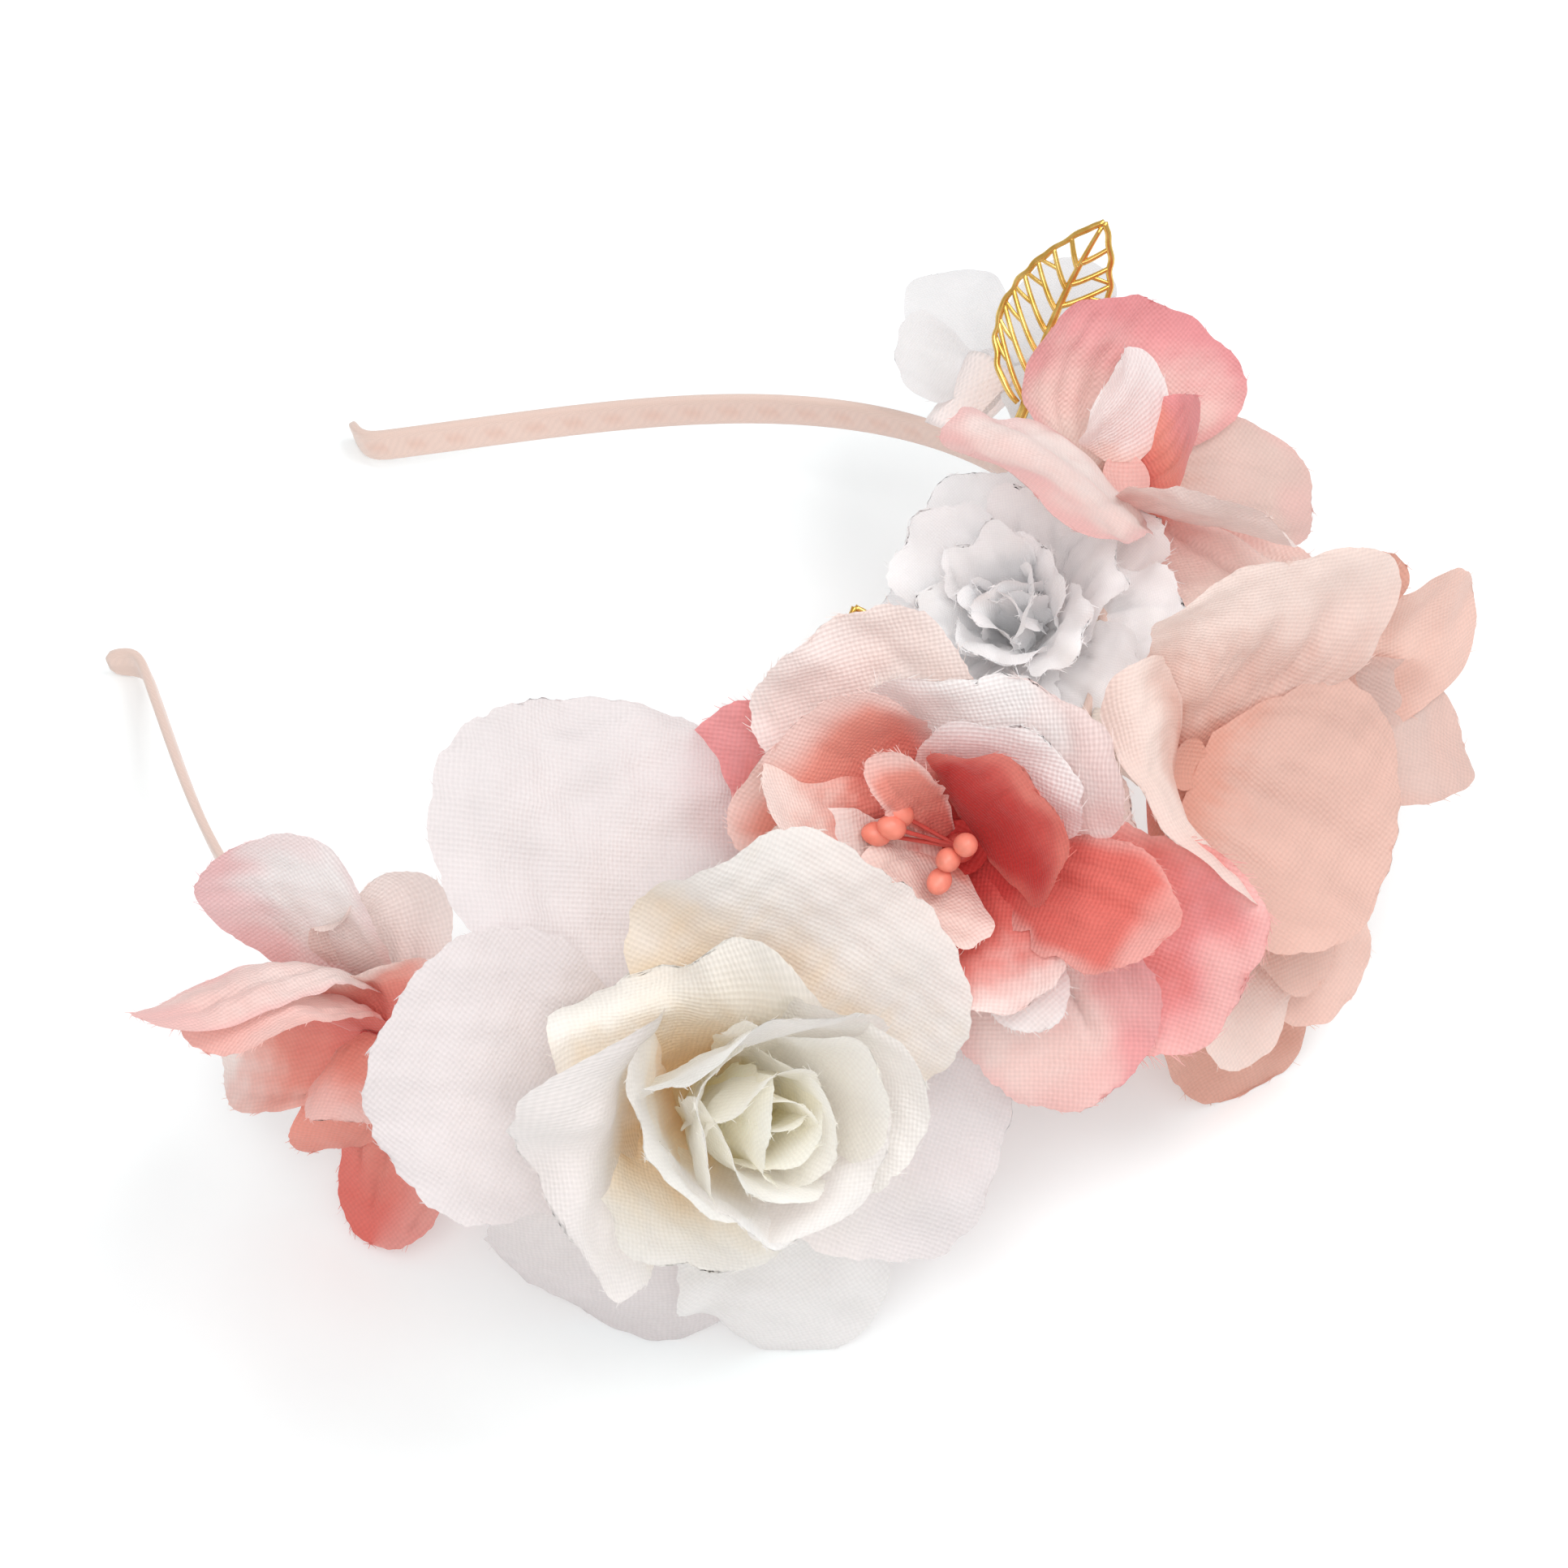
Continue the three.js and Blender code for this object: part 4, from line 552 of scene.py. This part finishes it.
def fibres(bld, P, ns, nt, tint, rng, count, length):
    """loose threads along the cut edge of a petal"""
    g = P.reshape(ns + 1, nt + 1, 3)
    tg = tint.reshape(ns + 1, nt + 1, 3)
    ring = [(i, 0) for i in range(ns // 3, ns)] + [(ns, j) for j in range(nt)] + [(i, nt) for i in range(ns, ns // 3, -1)]
    for _ in range(count):
        i, j = ring[rng.integers(len(ring))]
        i2, j2 = min(ns, max(0, i - 2 if j in (0, nt) else i - 2)), (j + 2 if j == 0 else j - 2 if j == nt else j)
        p = g[i, j]
        out = p - g[i2, j2]
        if np.linalg.norm(out) < 1e-6:
            continue
        out = out / np.linalg.norm(out)
        side = rng.normal(0, 1, 3)
        side -= out * (side @ out)
        side /= np.linalg.norm(side)
        ln = length * rng.uniform(0.4, 1.3)
        dirn = out + side * rng.uniform(-0.7, 0.7)
        dirn /= np.linalg.norm(dirn)
        wv = np.cross(dirn, side + 0.1)
        wv /= np.linalg.norm(wv) + 1e-9
        u = np.linspace(-0.15, 1, 4)
        mid = p + dirn * ln * u[:, None] + side * (0.25 * ln * u ** 2)[:, None]
        mid[:, 2] = np.maximum(mid[:, 2], 0.2)
        hw = 0.05 * (1 - 0.5 * np.clip(u, 0, 1))
        v = np.concatenate([mid - wv * hw[:, None], mid + wv * hw[:, None]])
        f = [[a, a + 1, a + 5, a + 4] for a in range(3)]
        bld.add(v, f, np.zeros((8, 2)), np.broadcast_to(tg[i, j], (8, 3)))

# ------------------------------------------------------------------ materials
def nodes_of(name):
    m = bpy.data.materials.new(name)
    m.use_nodes = True
    nt = m.node_tree
    nt.nodes.clear()
    return m, nt

def math_node(nt, op, a, b=None):
    n = nt.nodes.new("ShaderNodeMath")
    n.operation = op
    for i, v in enumerate((a, b)):
        if v is None:
            continue
        if isinstance(v, (int, float)):
            n.inputs[i].default_value = v
        else:
            nt.links.new(v, n.inputs[i])
    return n.outputs[0]

def cloth(name, pitch, weave, rough, sheen, through, bump=0.5, gloss=0.3, alpha=1.0, twill=False):
    """woven cloth: tint from the petal, two sets of threads in the cloth's own plane, slight slub, light passing through"""
    m, nt = nodes_of(name)
    out = nt.nodes.new("ShaderNodeOutputMaterial")
    p = nt.nodes.new("ShaderNodeBsdfPrincipled")
    col = nt.nodes.new("ShaderNodeAttribute")
    col.attribute_name = "tint"
    uv = nt.nodes.new("ShaderNodeUVMap")
    uv.uv_map = "cloth"
    slub = nt.nodes.new("ShaderNodeTexNoise")
    slub.inputs["Scale"].default_value = 18.0
    slub.inputs["Detail"].default_value = 2.0
    nt.links.new(uv.outputs[0], slub.inputs["Vector"])
    sep = nt.nodes.new("ShaderNodeSeparateXYZ")
    nt.links.new(uv.outputs[0], sep.inputs[0])
    wob = math_node(nt, "MULTIPLY", math_node(nt, "SUBTRACT", slub.outputs[0], 0.5), 0.012)
    k = 2 * math.pi / (pitch * 0.01)
    a = math_node(nt, "SINE", math_node(nt, "MULTIPLY", math_node(nt, "ADD", sep.outputs[0], wob), k))
    if twill:
        b = math_node(nt, "SINE", math_node(nt, "MULTIPLY", math_node(nt, "ADD", math_node(nt, "MULTIPLY", sep.outputs[0], 0.45), math_node(nt, "ADD", sep.outputs[1], wob)), k * 0.6))
        h = math_node(nt, "ADD", math_node(nt, "MULTIPLY", a, 0.25), math_node(nt, "MULTIPLY", b, 0.75))
    else:
        b = math_node(nt, "SINE", math_node(nt, "MULTIPLY", math_node(nt, "ADD", sep.outputs[1], wob), k))
        h = math_node(nt, "ADD", math_node(nt, "MULTIPLY", math_node(nt, "MULTIPLY", a, b), 0.75), math_node(nt, "MULTIPLY", math_node(nt, "ADD", a, b), 0.12))
    fine = nt.nodes.new("ShaderNodeTexNoise")
    fine.inputs["Scale"].default_value = 90.0
    fine.inputs["Detail"].default_value = 3.0
    nt.links.new(uv.outputs[0], fine.inputs["Vector"])
    h2 = math_node(nt, "ADD", h, math_node(nt, "MULTIPLY", math_node(nt, "SUBTRACT", fine.outputs[0], 0.5), 0.9))
    shade = math_node(nt, "ADD", math_node(nt, "MULTIPLY", h2, weave), 1.0)
    mul = nt.nodes.new("ShaderNodeVectorMath")
    mul.operation = "SCALE"
    nt.links.new(col.outputs["Color"], mul.inputs[0])
    nt.links.new(shade, mul.inputs["Scale"])
    nt.links.new(mul.outputs[0], p.inputs["Base Color"])
    rg = math_node(nt, "ADD", math_node(nt, "MULTIPLY", h2, 0.06), rough)
    nt.links.new(rg, p.inputs["Roughness"])
    bp = nt.nodes.new("ShaderNodeBump")
    bp.inputs["Strength"].default_value = bump
    bp.inputs["Distance"].default_value = 0.0001
    nt.links.new(h2, bp.inputs["Height"])
    nt.links.new(bp.outputs[0], p.inputs["Normal"])
    p.inputs["Specular IOR Level"].default_value = gloss
    p.inputs["Sheen Weight"].default_value = sheen
    p.inputs["Sheen Roughness"].default_value = 0.45
    p.inputs["Alpha"].default_value = alpha
    tr = nt.nodes.new("ShaderNodeBsdfTranslucent")
    nt.links.new(mul.outputs[0], tr.inputs["Color"])
    nt.links.new(bp.outputs[0], tr.inputs["Normal"])
    mix = nt.nodes.new("ShaderNodeMixShader")
    mix.inputs[0].default_value = through
    nt.links.new(p.outputs[0], mix.inputs[1])
    nt.links.new(tr.outputs[0], mix.inputs[2])
    nt.links.new(mix.outputs[0], out.inputs["Surface"])
    return m

def metal(name):
    m, nt = nodes_of(name)
    out = nt.nodes.new("ShaderNodeOutputMaterial")
    p = nt.nodes.new("ShaderNodeBsdfPrincipled")
    tc = nt.nodes.new("ShaderNodeTexCoord")
    n1 = nt.nodes.new("ShaderNodeTexNoise")
    n1.inputs["Scale"].default_value = 420.0
    n1.inputs["Detail"].default_value = 3.0
    nt.links.new(tc.outputs["Object"], n1.inputs["Vector"])
    ramp = nt.nodes.new("ShaderNodeValToRGB")
    ramp.color_ramp.elements[0].position = 0.3
    ramp.color_ramp.elements[0].color = (0.66, 0.36, 0.06, 1)
    ramp.color_ramp.elements[1].position = 0.7
    ramp.color_ramp.elements[1].color = (0.95, 0.66, 0.22, 1)
    nt.links.new(n1.outputs[0], ramp.inputs[0])
    nt.links.new(ramp.outputs[0], p.inputs["Base Color"])
    p.inputs["Metallic"].default_value = 1.0
    nt.links.new(math_node(nt, "ADD", math_node(nt, "MULTIPLY", n1.outputs[0], 0.16), 0.16), p.inputs["Roughness"])
    bp = nt.nodes.new("ShaderNodeBump")
    bp.inputs["Strength"].default_value = 0.35
    bp.inputs["Distance"].default_value = 0.00012
    nt.links.new(n1.outputs[0], bp.inputs["Height"])
    nt.links.new(bp.outputs[0], p.inputs["Normal"])
    nt.links.new(p.outputs[0], out.inputs["Surface"])
    return m

def waxy(name, colour):
    m, nt = nodes_of(name)
    out = nt.nodes.new("ShaderNodeOutputMaterial")
    p = nt.nodes.new("ShaderNodeBsdfPrincipled")
    tc = nt.nodes.new("ShaderNodeTexCoord")
    n1 = nt.nodes.new("ShaderNodeTexNoise")
    n1.inputs["Scale"].default_value = 700.0
    nt.links.new(tc.outputs["Object"], n1.inputs["Vector"])
    ramp = nt.nodes.new("ShaderNodeValToRGB")
    ramp.color_ramp.elements[0].position = 0.25
    ramp.color_ramp.elements[0].color = (*(colour * 0.86), 1)
    ramp.color_ramp.elements[1].position = 0.75
    ramp.color_ramp.elements[1].color = (*np.minimum(colour * 1.08, 1), 1)
    nt.links.new(n1.outputs[0], ramp.inputs[0])
    nt.links.new(ramp.outputs[0], p.inputs["Base Color"])
    nt.links.new(math_node(nt, "ADD", math_node(nt, "MULTIPLY", n1.outputs[0], 0.1), 0.33), p.inputs["Roughness"])
    p.inputs["Subsurface Weight"].default_value = 0.15
    p.inputs["Subsurface Radius"].default_value = (0.001, 0.0005, 0.0004)
    nt.links.new(p.outputs[0], out.inputs["Surface"])
    return m

def plain_floor(name):
    m, nt = nodes_of(name)
    out = nt.nodes.new("ShaderNodeOutputMaterial")
    p = nt.nodes.new("ShaderNodeBsdfPrincipled")
    tc = nt.nodes.new("ShaderNodeTexCoord")
    n1 = nt.nodes.new("ShaderNodeTexNoise")
    n1.inputs["Scale"].default_value = 3.0
    nt.links.new(tc.outputs["Object"], n1.inputs["Vector"])
    nt.links.new(math_node(nt, "ADD", math_node(nt, "MULTIPLY", n1.outputs[0], 0.05), 0.6), p.inputs["Roughness"])
    p.inputs["Base Color"].default_value = (0.922, 0.963, 0.971, 1)
    p.inputs["Specular IOR Level"].default_value = 0.1
    p.inputs["Emission Color"].default_value = (1.0, 1.0, 1.0, 1)
    p.inputs["Emission Strength"].default_value = 0.1
    nt.links.new(p.outputs[0], out.inputs["Surface"])
    return m

MATS = {
    "rose": cloth("rose_cloth", 0.84, 0.045, 0.75, 0.25, 0.3, bump=0.6, gloss=0.2),
    "rose_heart": cloth("rose_heart_cloth", 0.84, 0.04, 0.75, 1.0, 0.55, bump=0.5, gloss=0.2),
    "pink": cloth("pink_cloth", 0.8, 0.06, 0.66, 0.2, 0.2, bump=0.6),
    "coral": cloth("coral_cloth", 0.84, 0.07, 0.66, 0.2, 0.2, bump=0.6),
    "peach": cloth("peach_cloth", 0.8, 0.055, 0.55, 0.2, 0.25, bump=0.6, gloss=0.4),
    "blush": cloth("blush_cloth", 0.8, 0.055, 0.62, 0.2, 0.25, bump=0.6),
    "white": cloth("white_cloth", 0.45, 0.03, 0.7, 0.2, 0.3, bump=0.35, gloss=0.2),
    "ruffle": cloth("ruffle_cloth", 0.42, 0.04, 0.7, 1.0, 0.25, bump=0.25, gloss=0.2, alpha=1.0),
}
GOLD = metal("gold_plate")
BEAD = waxy("stamen_bead", srgb("f2937f"))
THREAD = waxy("stamen_thread", srgb("cf5a52"))
SATIN = cloth("band_satin", 0.34, 0.03, 0.42, 0.2, 0.0, bump=0.25, gloss=0.45, twill=True)
FELT = cloth("backing_felt", 0.8, 0.05, 0.9, 0.3, 0.0, bump=0.6, gloss=0.1)
FLOOR = plain_floor("floor_paper")

def ready(ob, node):
    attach(ob, "root")
    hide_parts(node)
    return ob

# ------------------------------------------------------------------ the strip
def build_band():
    steps, sides = 360, 28
    half_w, half_t = BAND_WIDTH / 2, BAND_THICKNESS / 2
    verts, uvs, tints = [], [], []
    base = srgb("e5cbbf")
    rng = np.random.default_rng(5)
    tone = waves(rng, 5, 0.02, 0.2)
    for i in range(steps + 1):
        x = -1 + 2 * i / steps
        s = BAND_LENGTH / 2 * x * (1.15 - 0.15 * x * x)
        c, t, o = band_frame(s)
        tip = smooth(1 - (BAND_LENGTH / 2 - abs(s)) / 4.5)
        slim = 1 - 0.14 * tip
        end = math.sqrt(max(0.0, 1 - max(0.0, (abs(s) - (BAND_LENGTH / 2 - 2.2)) / 2.2) ** 2))
        for k in range(sides):
            w = 2 * math.pi * k / sides
            cw, sw = math.cos(w), math.sin(w)
            a = half_t * math.copysign(abs(cw) ** 0.55, cw)
            b = half_w * slim * math.copysign(abs(sw) ** 0.32, sw) * (0.55 + 0.45 * end)
            seam = -0.16 * math.exp(-((b - 0.4) / 0.35) ** 2) if cw < 0 else 0
            a = math.copysign(max(0.12, abs(a) + seam), a) * (0.6 + 0.4 * end)
            p = c + o * a + UP * b
            p[2] = max(p[2], 0.02)
            verts.append(p)
            uvs.append((s * 0.01, 0.08 * k / sides * 2))
            dash = 0.5 + 0.5 * math.tanh(4 * math.sin(s * 1.1))
            col = base * (1 + 0.025 * tone(s))
            if cw < 0 and abs(b - 0.4) < 0.8:
                col = col + (srgb("dcae9c") - col) * 0.7 * dash * math.exp(-((b - 0.4) / 0.5) ** 2)
            tints.append(col)
    faces = []
    for i in range(steps):
        for k in range(sides):
            k2 = (k + 1) % sides
            faces.append([i * sides + k, (i + 1) * sides + k, (i + 1) * sides + k2, i * sides + k2])
    faces.append(list(range(sides)))
    faces.append([steps * sides + k for k in range(sides)][::-1])
    return ready(make_object("band_cover", verts, faces, uvs, tints, SATIN), "band")

# ------------------------------------------------------------------ blooms
def hub_disc(bld, fr, height, radius, colour):
    O, A, X, Y = fr
    rings, seg = 5, 24
    v = [O + A * (height - 0.5)]
    for r in range(1, rings + 1):
        for k in range(seg):
            w = 2 * math.pi * k / seg
            v.append(O + A * (height - 0.5 + 0.9 * (r / rings) ** 2) + (X * math.cos(w) + Y * math.sin(w)) * radius * r / rings)
    f = [[0, 1 + k, 1 + (k + 1) % seg] for k in range(seg)]
    for r in range(rings - 1):
        for k in range(seg):
            a, b = 1 + r * seg + k, 1 + r * seg + (k + 1) % seg
            f.append([a, a + seg, b + seg, b])
    v = np.array(v)
    uv = np.stack([(v - O) @ X, (v - O) @ Y], -1) * 0.01
    bld.add(v, f, uv, np.broadcast_to(colour, (len(v), 3)))

EXTRA = {
    "C11": dict(fibres=160, fibre_length=1.8),
    "C1": dict(fibres=90, fibre_length=1.1),
    "C2": dict(fibres=110, fibre_length=1.6),
    "H1": dict(lines=0.3, line_count=10),
    "C10": dict(lines=0.3, line_count=11),
    "Q6": dict(lines=0.45, line_count=12),
    "Q1": dict(lines=0.2, line_count=8),
    "Li": dict(lines=0.5, line_count=9),
    "C8": dict(creases=((0.1, 0.12, 0.2, 0.95, -0.9),)),
    "Lc": dict(creases=((0.0, 0.2, 0.1, 0.95, 0.8),)),
    "H4": dict(pinked=1.6, wid=19, peak=0.76, blunt=4),
    "C4": dict(open=54, len=27),
    "H5": dict(pinked=0.9),
    "Q3": dict(lines=0.3, line_count=8),
    "C9": dict(wid=16.5),
    "R18": dict(wid=18),
}

def ruffle_petals(layer):
    for row in RUFFLE_TABLE:
        r = dict(zip(RUFFLE_COLUMNS, row))
        if r["layer"] != layer:
            continue
        for i in range(r["count"]):
            odd = i % 2
            yield dict(name=f"W{layer}{i}", az=(r["first"] + i * 360 / r["count"]) % 360, open=r["open"] + (7 if odd else -5),
                       bend=0 if odd else -6, curl=(14, 30, 52)[layer - 1], cup=24, roll=12 if odd else -10, skew=0,
                       len=r["len"] + (1.2 if i % 3 == 0 else -0.6), wid=r["wid"], peak=0.62, blunt=2.8, start=2.2)
    # small gathers that fill the middle of the bunch
    if layer == 3:
        for i in range(5):
            yield dict(name=f"W4{i}", az=40 + i * 72, open=9 if i % 2 else -4, bend=-5, curl=44 if i % 2 else 14, cup=28, roll=10 if i % 2 else -12, skew=0,
                       len=14.6 - 0.5 * (i % 3), wid=10.5, peak=0.62, blunt=2.8, start=1.4)

def build_layers():
    for index, row in enumerate(LAYER_TABLE):
        ly = dict(zip(LAYER_COLUMNS, row))
        name = ly["flower"]
        fr = FRAMES[name]
        form = dict(zip(FORM_COLUMNS, FORMS[name]))
        key = f"{name}{ly['layer']}"
        rows = [dict(zip(PETAL_COLUMNS, r)) for r in PETAL_TABLE if r[0] == name and r[1] == ly["layer"]]
        if name == "ruffle":
            rows = list(ruffle_petals(ly["layer"]))
        bld, total, wide, deep = Builder(), 0.0, 0.0, 0.0
        for j, q in enumerate(rows):
            rng = np.random.default_rng(1000 * index + 17 * j + 3)
            q.update(EXTRA.get(q["name"], {}))
            look = LOOKS.get(q["name"], LOOKS[key])
            f2 = dict(form)
            f2.update(q.get("form", {}))
            v, f, uv, tint, area = petal(fr, q, ly["height"], f2, look, rng)
            bld.add(v, f, uv, tint)
            ns, nt = petal_grid(q["len"], q["wid"] / 2)
            count = int(q.get("fibres", {"rose": 40, "coral": 55, "pink": 40, "ruffle": 40, "blush": 30, "peach": 20, "white": 6}[name]))
            fibres(bld, v, ns, nt, tint, rng, count, q.get("fibre_length", 0.9))
            total += area
            wide += q["wid"]
            deep = max(deep, q["len"])
        # the hub takes the layer's root colour; for the rose's middle layer that is painted shade of the hollows
        root = PALETTE[LOOKS[key][0]]
        hub_disc(bld, fr, ly["height"], ly["hub"] * 0.85, root)
        total += math.pi * (ly["hub"] * 0.85) ** 2
        wide += 2 * ly["hub"] * 0.85
        ob = ready(bld.make(ly["node"].replace("petals", "cloth").replace("heart", "heart_cloth"), MATS["rose_heart" if name == "rose" and ly["layer"] > 2 else name]), ly["node"])

def build_bases():
    for name, f in FLOWERS.items():
        O, A, X, Y = FRAMES[name]
        low = dict(zip(LAYER_COLUMNS, [r for r in LAYER_TABLE if r[0] == name][0]))
        foot = band_frame(f["s"] + f["along"])[0]
        top = O + A * (low["height"] - 1.25)
        u = np.linspace(0, 1, 14)
        pts = foot + (top - foot) * u[:, None]
        if np.linalg.norm(top - foot) < 1.2:
            pts = foot + A * np.linspace(0, 1.6, 14)[:, None]
        r = 3.5 + 0.9 * u - 0.5 * np.sin(np.pi * u)
        r[0] *= 0.9
        v, fc = tube(pts, r, 24)
        rng = np.random.default_rng(40)
        v = v + 0.08 * np.stack([noise2(rng, 6, 3.0)(v[:, 0], v[:, 1] + v[:, 2]) for _ in range(3)], -1)
        ang = np.tile(np.linspace(0, 1, 24), 14)
        uv = np.stack([ang * 0.25, np.repeat(u, 24) * 0.06], -1)
        ready(make_object(f"{name}_backing", v, fc, uv, np.broadcast_to(srgb("f6ebe8" if name == "white" else "e9ddd2"), (len(v), 3)), FELT), f"{name}_base")

# ------------------------------------------------------------------ stamens and leaves
def build_stamens():
    O, A, X, Y = FRAMES["coral"]
    foot = O + A * 8.0
    verts, faces, n = [], [], 0
    kinds = []
    def put(v, f, kind=0):
        nonlocal n
        verts.append(v)
        faces.extend([[i + n for i in q] for q in f])
        kinds.extend([kind] * len(f))
        n += len(v)
    for row in STAMEN_TABLE:
        s = dict(zip(STAMEN_COLUMNS, row))
        az, op = rad(s["az"]), rad(s["open"])
        er = np.cos(az) * X + np.sin(az) * Y
        d = np.cos(op) * A + np.sin(op) * er
        u = np.linspace(0, 1, 12)
        sag = -np.sin(np.pi * u) * 0.6
        put(*tube(foot + d * (s["len"] - 1) * u[:, None] + A * sag[:, None], 0.28, 8), kind=1)
        c = foot + d * s["len"]
        a = np.cross(d, X + 0.2 * Y)
        a /= np.linalg.norm(a)
        b = np.cross(d, a)
        rows, cols = 16, 22
        v = []
        for i in range(rows + 1):
            ph = math.pi * i / rows
            rr = 1.5 * math.sin(ph) * (1 + 0.06 * math.cos(ph))
            for k in range(cols):
                w = 2 * math.pi * k / cols
                v.append(c + d * (-1.95 * math.cos(ph)) + (a * math.cos(w) + b * math.sin(w)) * max(rr, 0.02))
        f = []
        for i in range(rows):
            for k in range(cols):
                k2 = (k + 1) % cols
                f.append([i * cols + k, i * cols + k2, (i + 1) * cols + k2, (i + 1) * cols + k])
        put(np.array(v), f)
    u = np.linspace(0, 1, 8)
    put(*tube(foot + A * (-0.9 + 1.4 * u[:, None]), 1.9 - 0.5 * u ** 2, 18), kind=1)
    ob = make_object("coral_stamen_beads", np.concatenate(verts), faces, None, None, BEAD)
    ob.data.materials.append(THREAD)
    for poly, kind in zip(ob.data.polygons, kinds):
        poly.material_index = kind
    ready(ob, "coral_stamens")

def leaf_half(y):
    return LEAF_WIDTH / 2 * np.sin(np.pi * np.clip(y, 0, 1) ** 0.75) ** 0.75

def build_leaf(row):
    r = dict(zip(LEAF_COLUMNS, row))
    c, t, o = band_frame(r["s"])
    at = c + o * r["out"] + UP * r["rise"] + t * r["along"]
    h, k = rad(r["heading"]), rad(r["climb"])
    along = np.array([np.cos(k) * np.cos(h), np.cos(k) * np.sin(h), np.sin(k)])
    flat = np.cross([0, 0, 1.0], along)
    flat /= np.linalg.norm(flat)
    q = rad(r["turn"])
    side = flat * np.cos(q) + np.cross(along, flat) * np.sin(q)
    nrm = np.cross(side, along)
    L = LEAF_LENGTH
    def place(x, y):
        x, y = np.asarray(x, float), np.asarray(y, float)
        z = 2.2 * np.clip(y / L, 0, 1) ** 2 - 0.03 * x ** 2
        return at + side * x[..., None] + along * y[..., None] + nrm * z[..., None]
    verts, faces, n = [], [], 0
    def put(xy, rr, flatness=0.75):
        nonlocal n
        xy = np.asarray(xy, float)
        v, f = tube(place(xy[:, 0], xy[:, 1]), rr, 8, flatness, nrm)
        verts.append(v)
        faces.extend([[i + n for i in qq] for qq in f])
        n += len(v)
    rng = np.random.default_rng(len(r["node"]))
    # midrib and stalk
    y = np.linspace(-LEAF_STALK, L * 0.97, 40)
    bow = lambda yy: 1.1 * np.sin(np.pi * np.clip(yy / L, 0, 1)) * BOW
    put(np.stack([bow(y), y], -1), 0.72 - 0.42 * np.clip(y / L, 0, 1))
    # rim, slightly wavy
    u = np.linspace(0.012, 1.0, 70)
    for sg in (1, -1):
        w = waves(rng, 3, 30, 60)(u) * 0.22
        x = sg * np.maximum(leaf_half(u) - 0.25 + w * (u < 0.97), 0.02) + bow(u * L)
        put(np.stack([x, u * L], -1), 0.42 + 0.08 * waves(rng, 3, 20, 40)(u))
        # veins with a fork near the rim
        for j in range(7):
            y0 = 0.03 + 0.118 * j + (0.03 if sg > 0 else 0)
            y1 = min(0.965, y0 + 0.26 * (1 - y0) + 0.06)
            e = np.linspace(0, 1, 16)
            xe = sg * (leaf_half(np.array(y1)) - 0.25)
            px = xe * e ** 0.92 + bow((y0 + (y1 - y0) * e) * L) * 1.0
            py = (y0 + (y1 - y0) * e ** 1.15) * L
            put(np.stack([px, py], -1), 0.42 - 0.1 * e)
            if j < 6:
                f0 = 0.55
                y2 = min(0.96, y1 - 0.075)
                xb = sg * (leaf_half(np.array(y2)) - 0.25)
                i0 = int(f0 * 15)
                e2 = np.linspace(0, 1, 9)
                bx = px[i0] + (xb + bow(np.array(y2 * L)) - px[i0]) * e2
                by = py[i0] + (y2 * L - py[i0]) * e2 ** 1.4
                put(np.stack([bx, by], -1), 0.32 - 0.05 * e2)
    ready(make_object(r["node"] + "_filigree", np.concatenate(verts), faces, None, None, GOLD), r["node"])

BOW = -1.0

build_band()
build_bases()
build_layers()
build_stamens()
for row in LEAF_TABLE:
    build_leaf(row)

# ------------------------------------------------------------------ stage, light and camera
me = bpy.data.meshes.new("floor")
me.from_pydata([(-3, -3, 0), (3, -3, 0), (3, 3, 0), (-3, 3, 0)], [], [(0, 1, 2, 3)])
floor = bpy.data.objects.new("floor", me)
bpy.context.scene.collection.objects.link(floor)
me.materials.append(FLOOR)

scene = bpy.context.scene
world = bpy.data.worlds.new("studio")
world.use_nodes = True
world.node_tree.nodes["Background"].inputs[0].default_value = (1.0, 1.0, 1.0, 1)
world.node_tree.nodes["Background"].inputs[1].default_value = 0.6
scene.world = world
scene.view_settings.view_transform = "Standard"

a, e = rad(VIEW_AZIMUTH), rad(VIEW_ELEVATION)
back = np.array([np.sin(a) * np.cos(e), -np.cos(a) * np.cos(e), np.sin(e)])
right = np.array([np.cos(a), np.sin(a), 0.0])
up = np.cross(back, right)

def lamp(name, r, u, b, size, power, aim=(0, 0, 0.03)):
    """a soft box placed by the photographer's right, up and back, metres"""
    d = bpy.data.lights.new(name, "AREA")
    d.shape = "SQUARE"
    d.size = size
    d.energy = power
    ob = bpy.data.objects.new(name, d)
    loc = Vector((right * r + up * u + back * b).tolist())
    ob.location = loc
    ob.rotation_euler = (Vector(aim) - loc).to_track_quat("-Z", "Y").to_euler()
    scene.collection.objects.link(ob)

lamp("key_light", 0.6, 0.75, 0.95, 0.7, 6.6)
lamp("front_light", -0.04, 0.15, 1.4, 0.8, 7.0)

cam = bpy.data.cameras.new("camera")
cam.sensor_width = 36.0
cam.lens = VIEW_LENS
cam.clip_start, cam.clip_end = 0.01, 20.0
co = bpy.data.objects.new("camera", cam)
pos = (VIEW_TARGET + back * VIEW_DISTANCE - MIDDLE) * MM
co.matrix_world = Matrix([[right[i], up[i], back[i], pos[i]] for i in range(3)] + [[0, 0, 0, 1]])
scene.collection.objects.link(co)
scene.camera = co
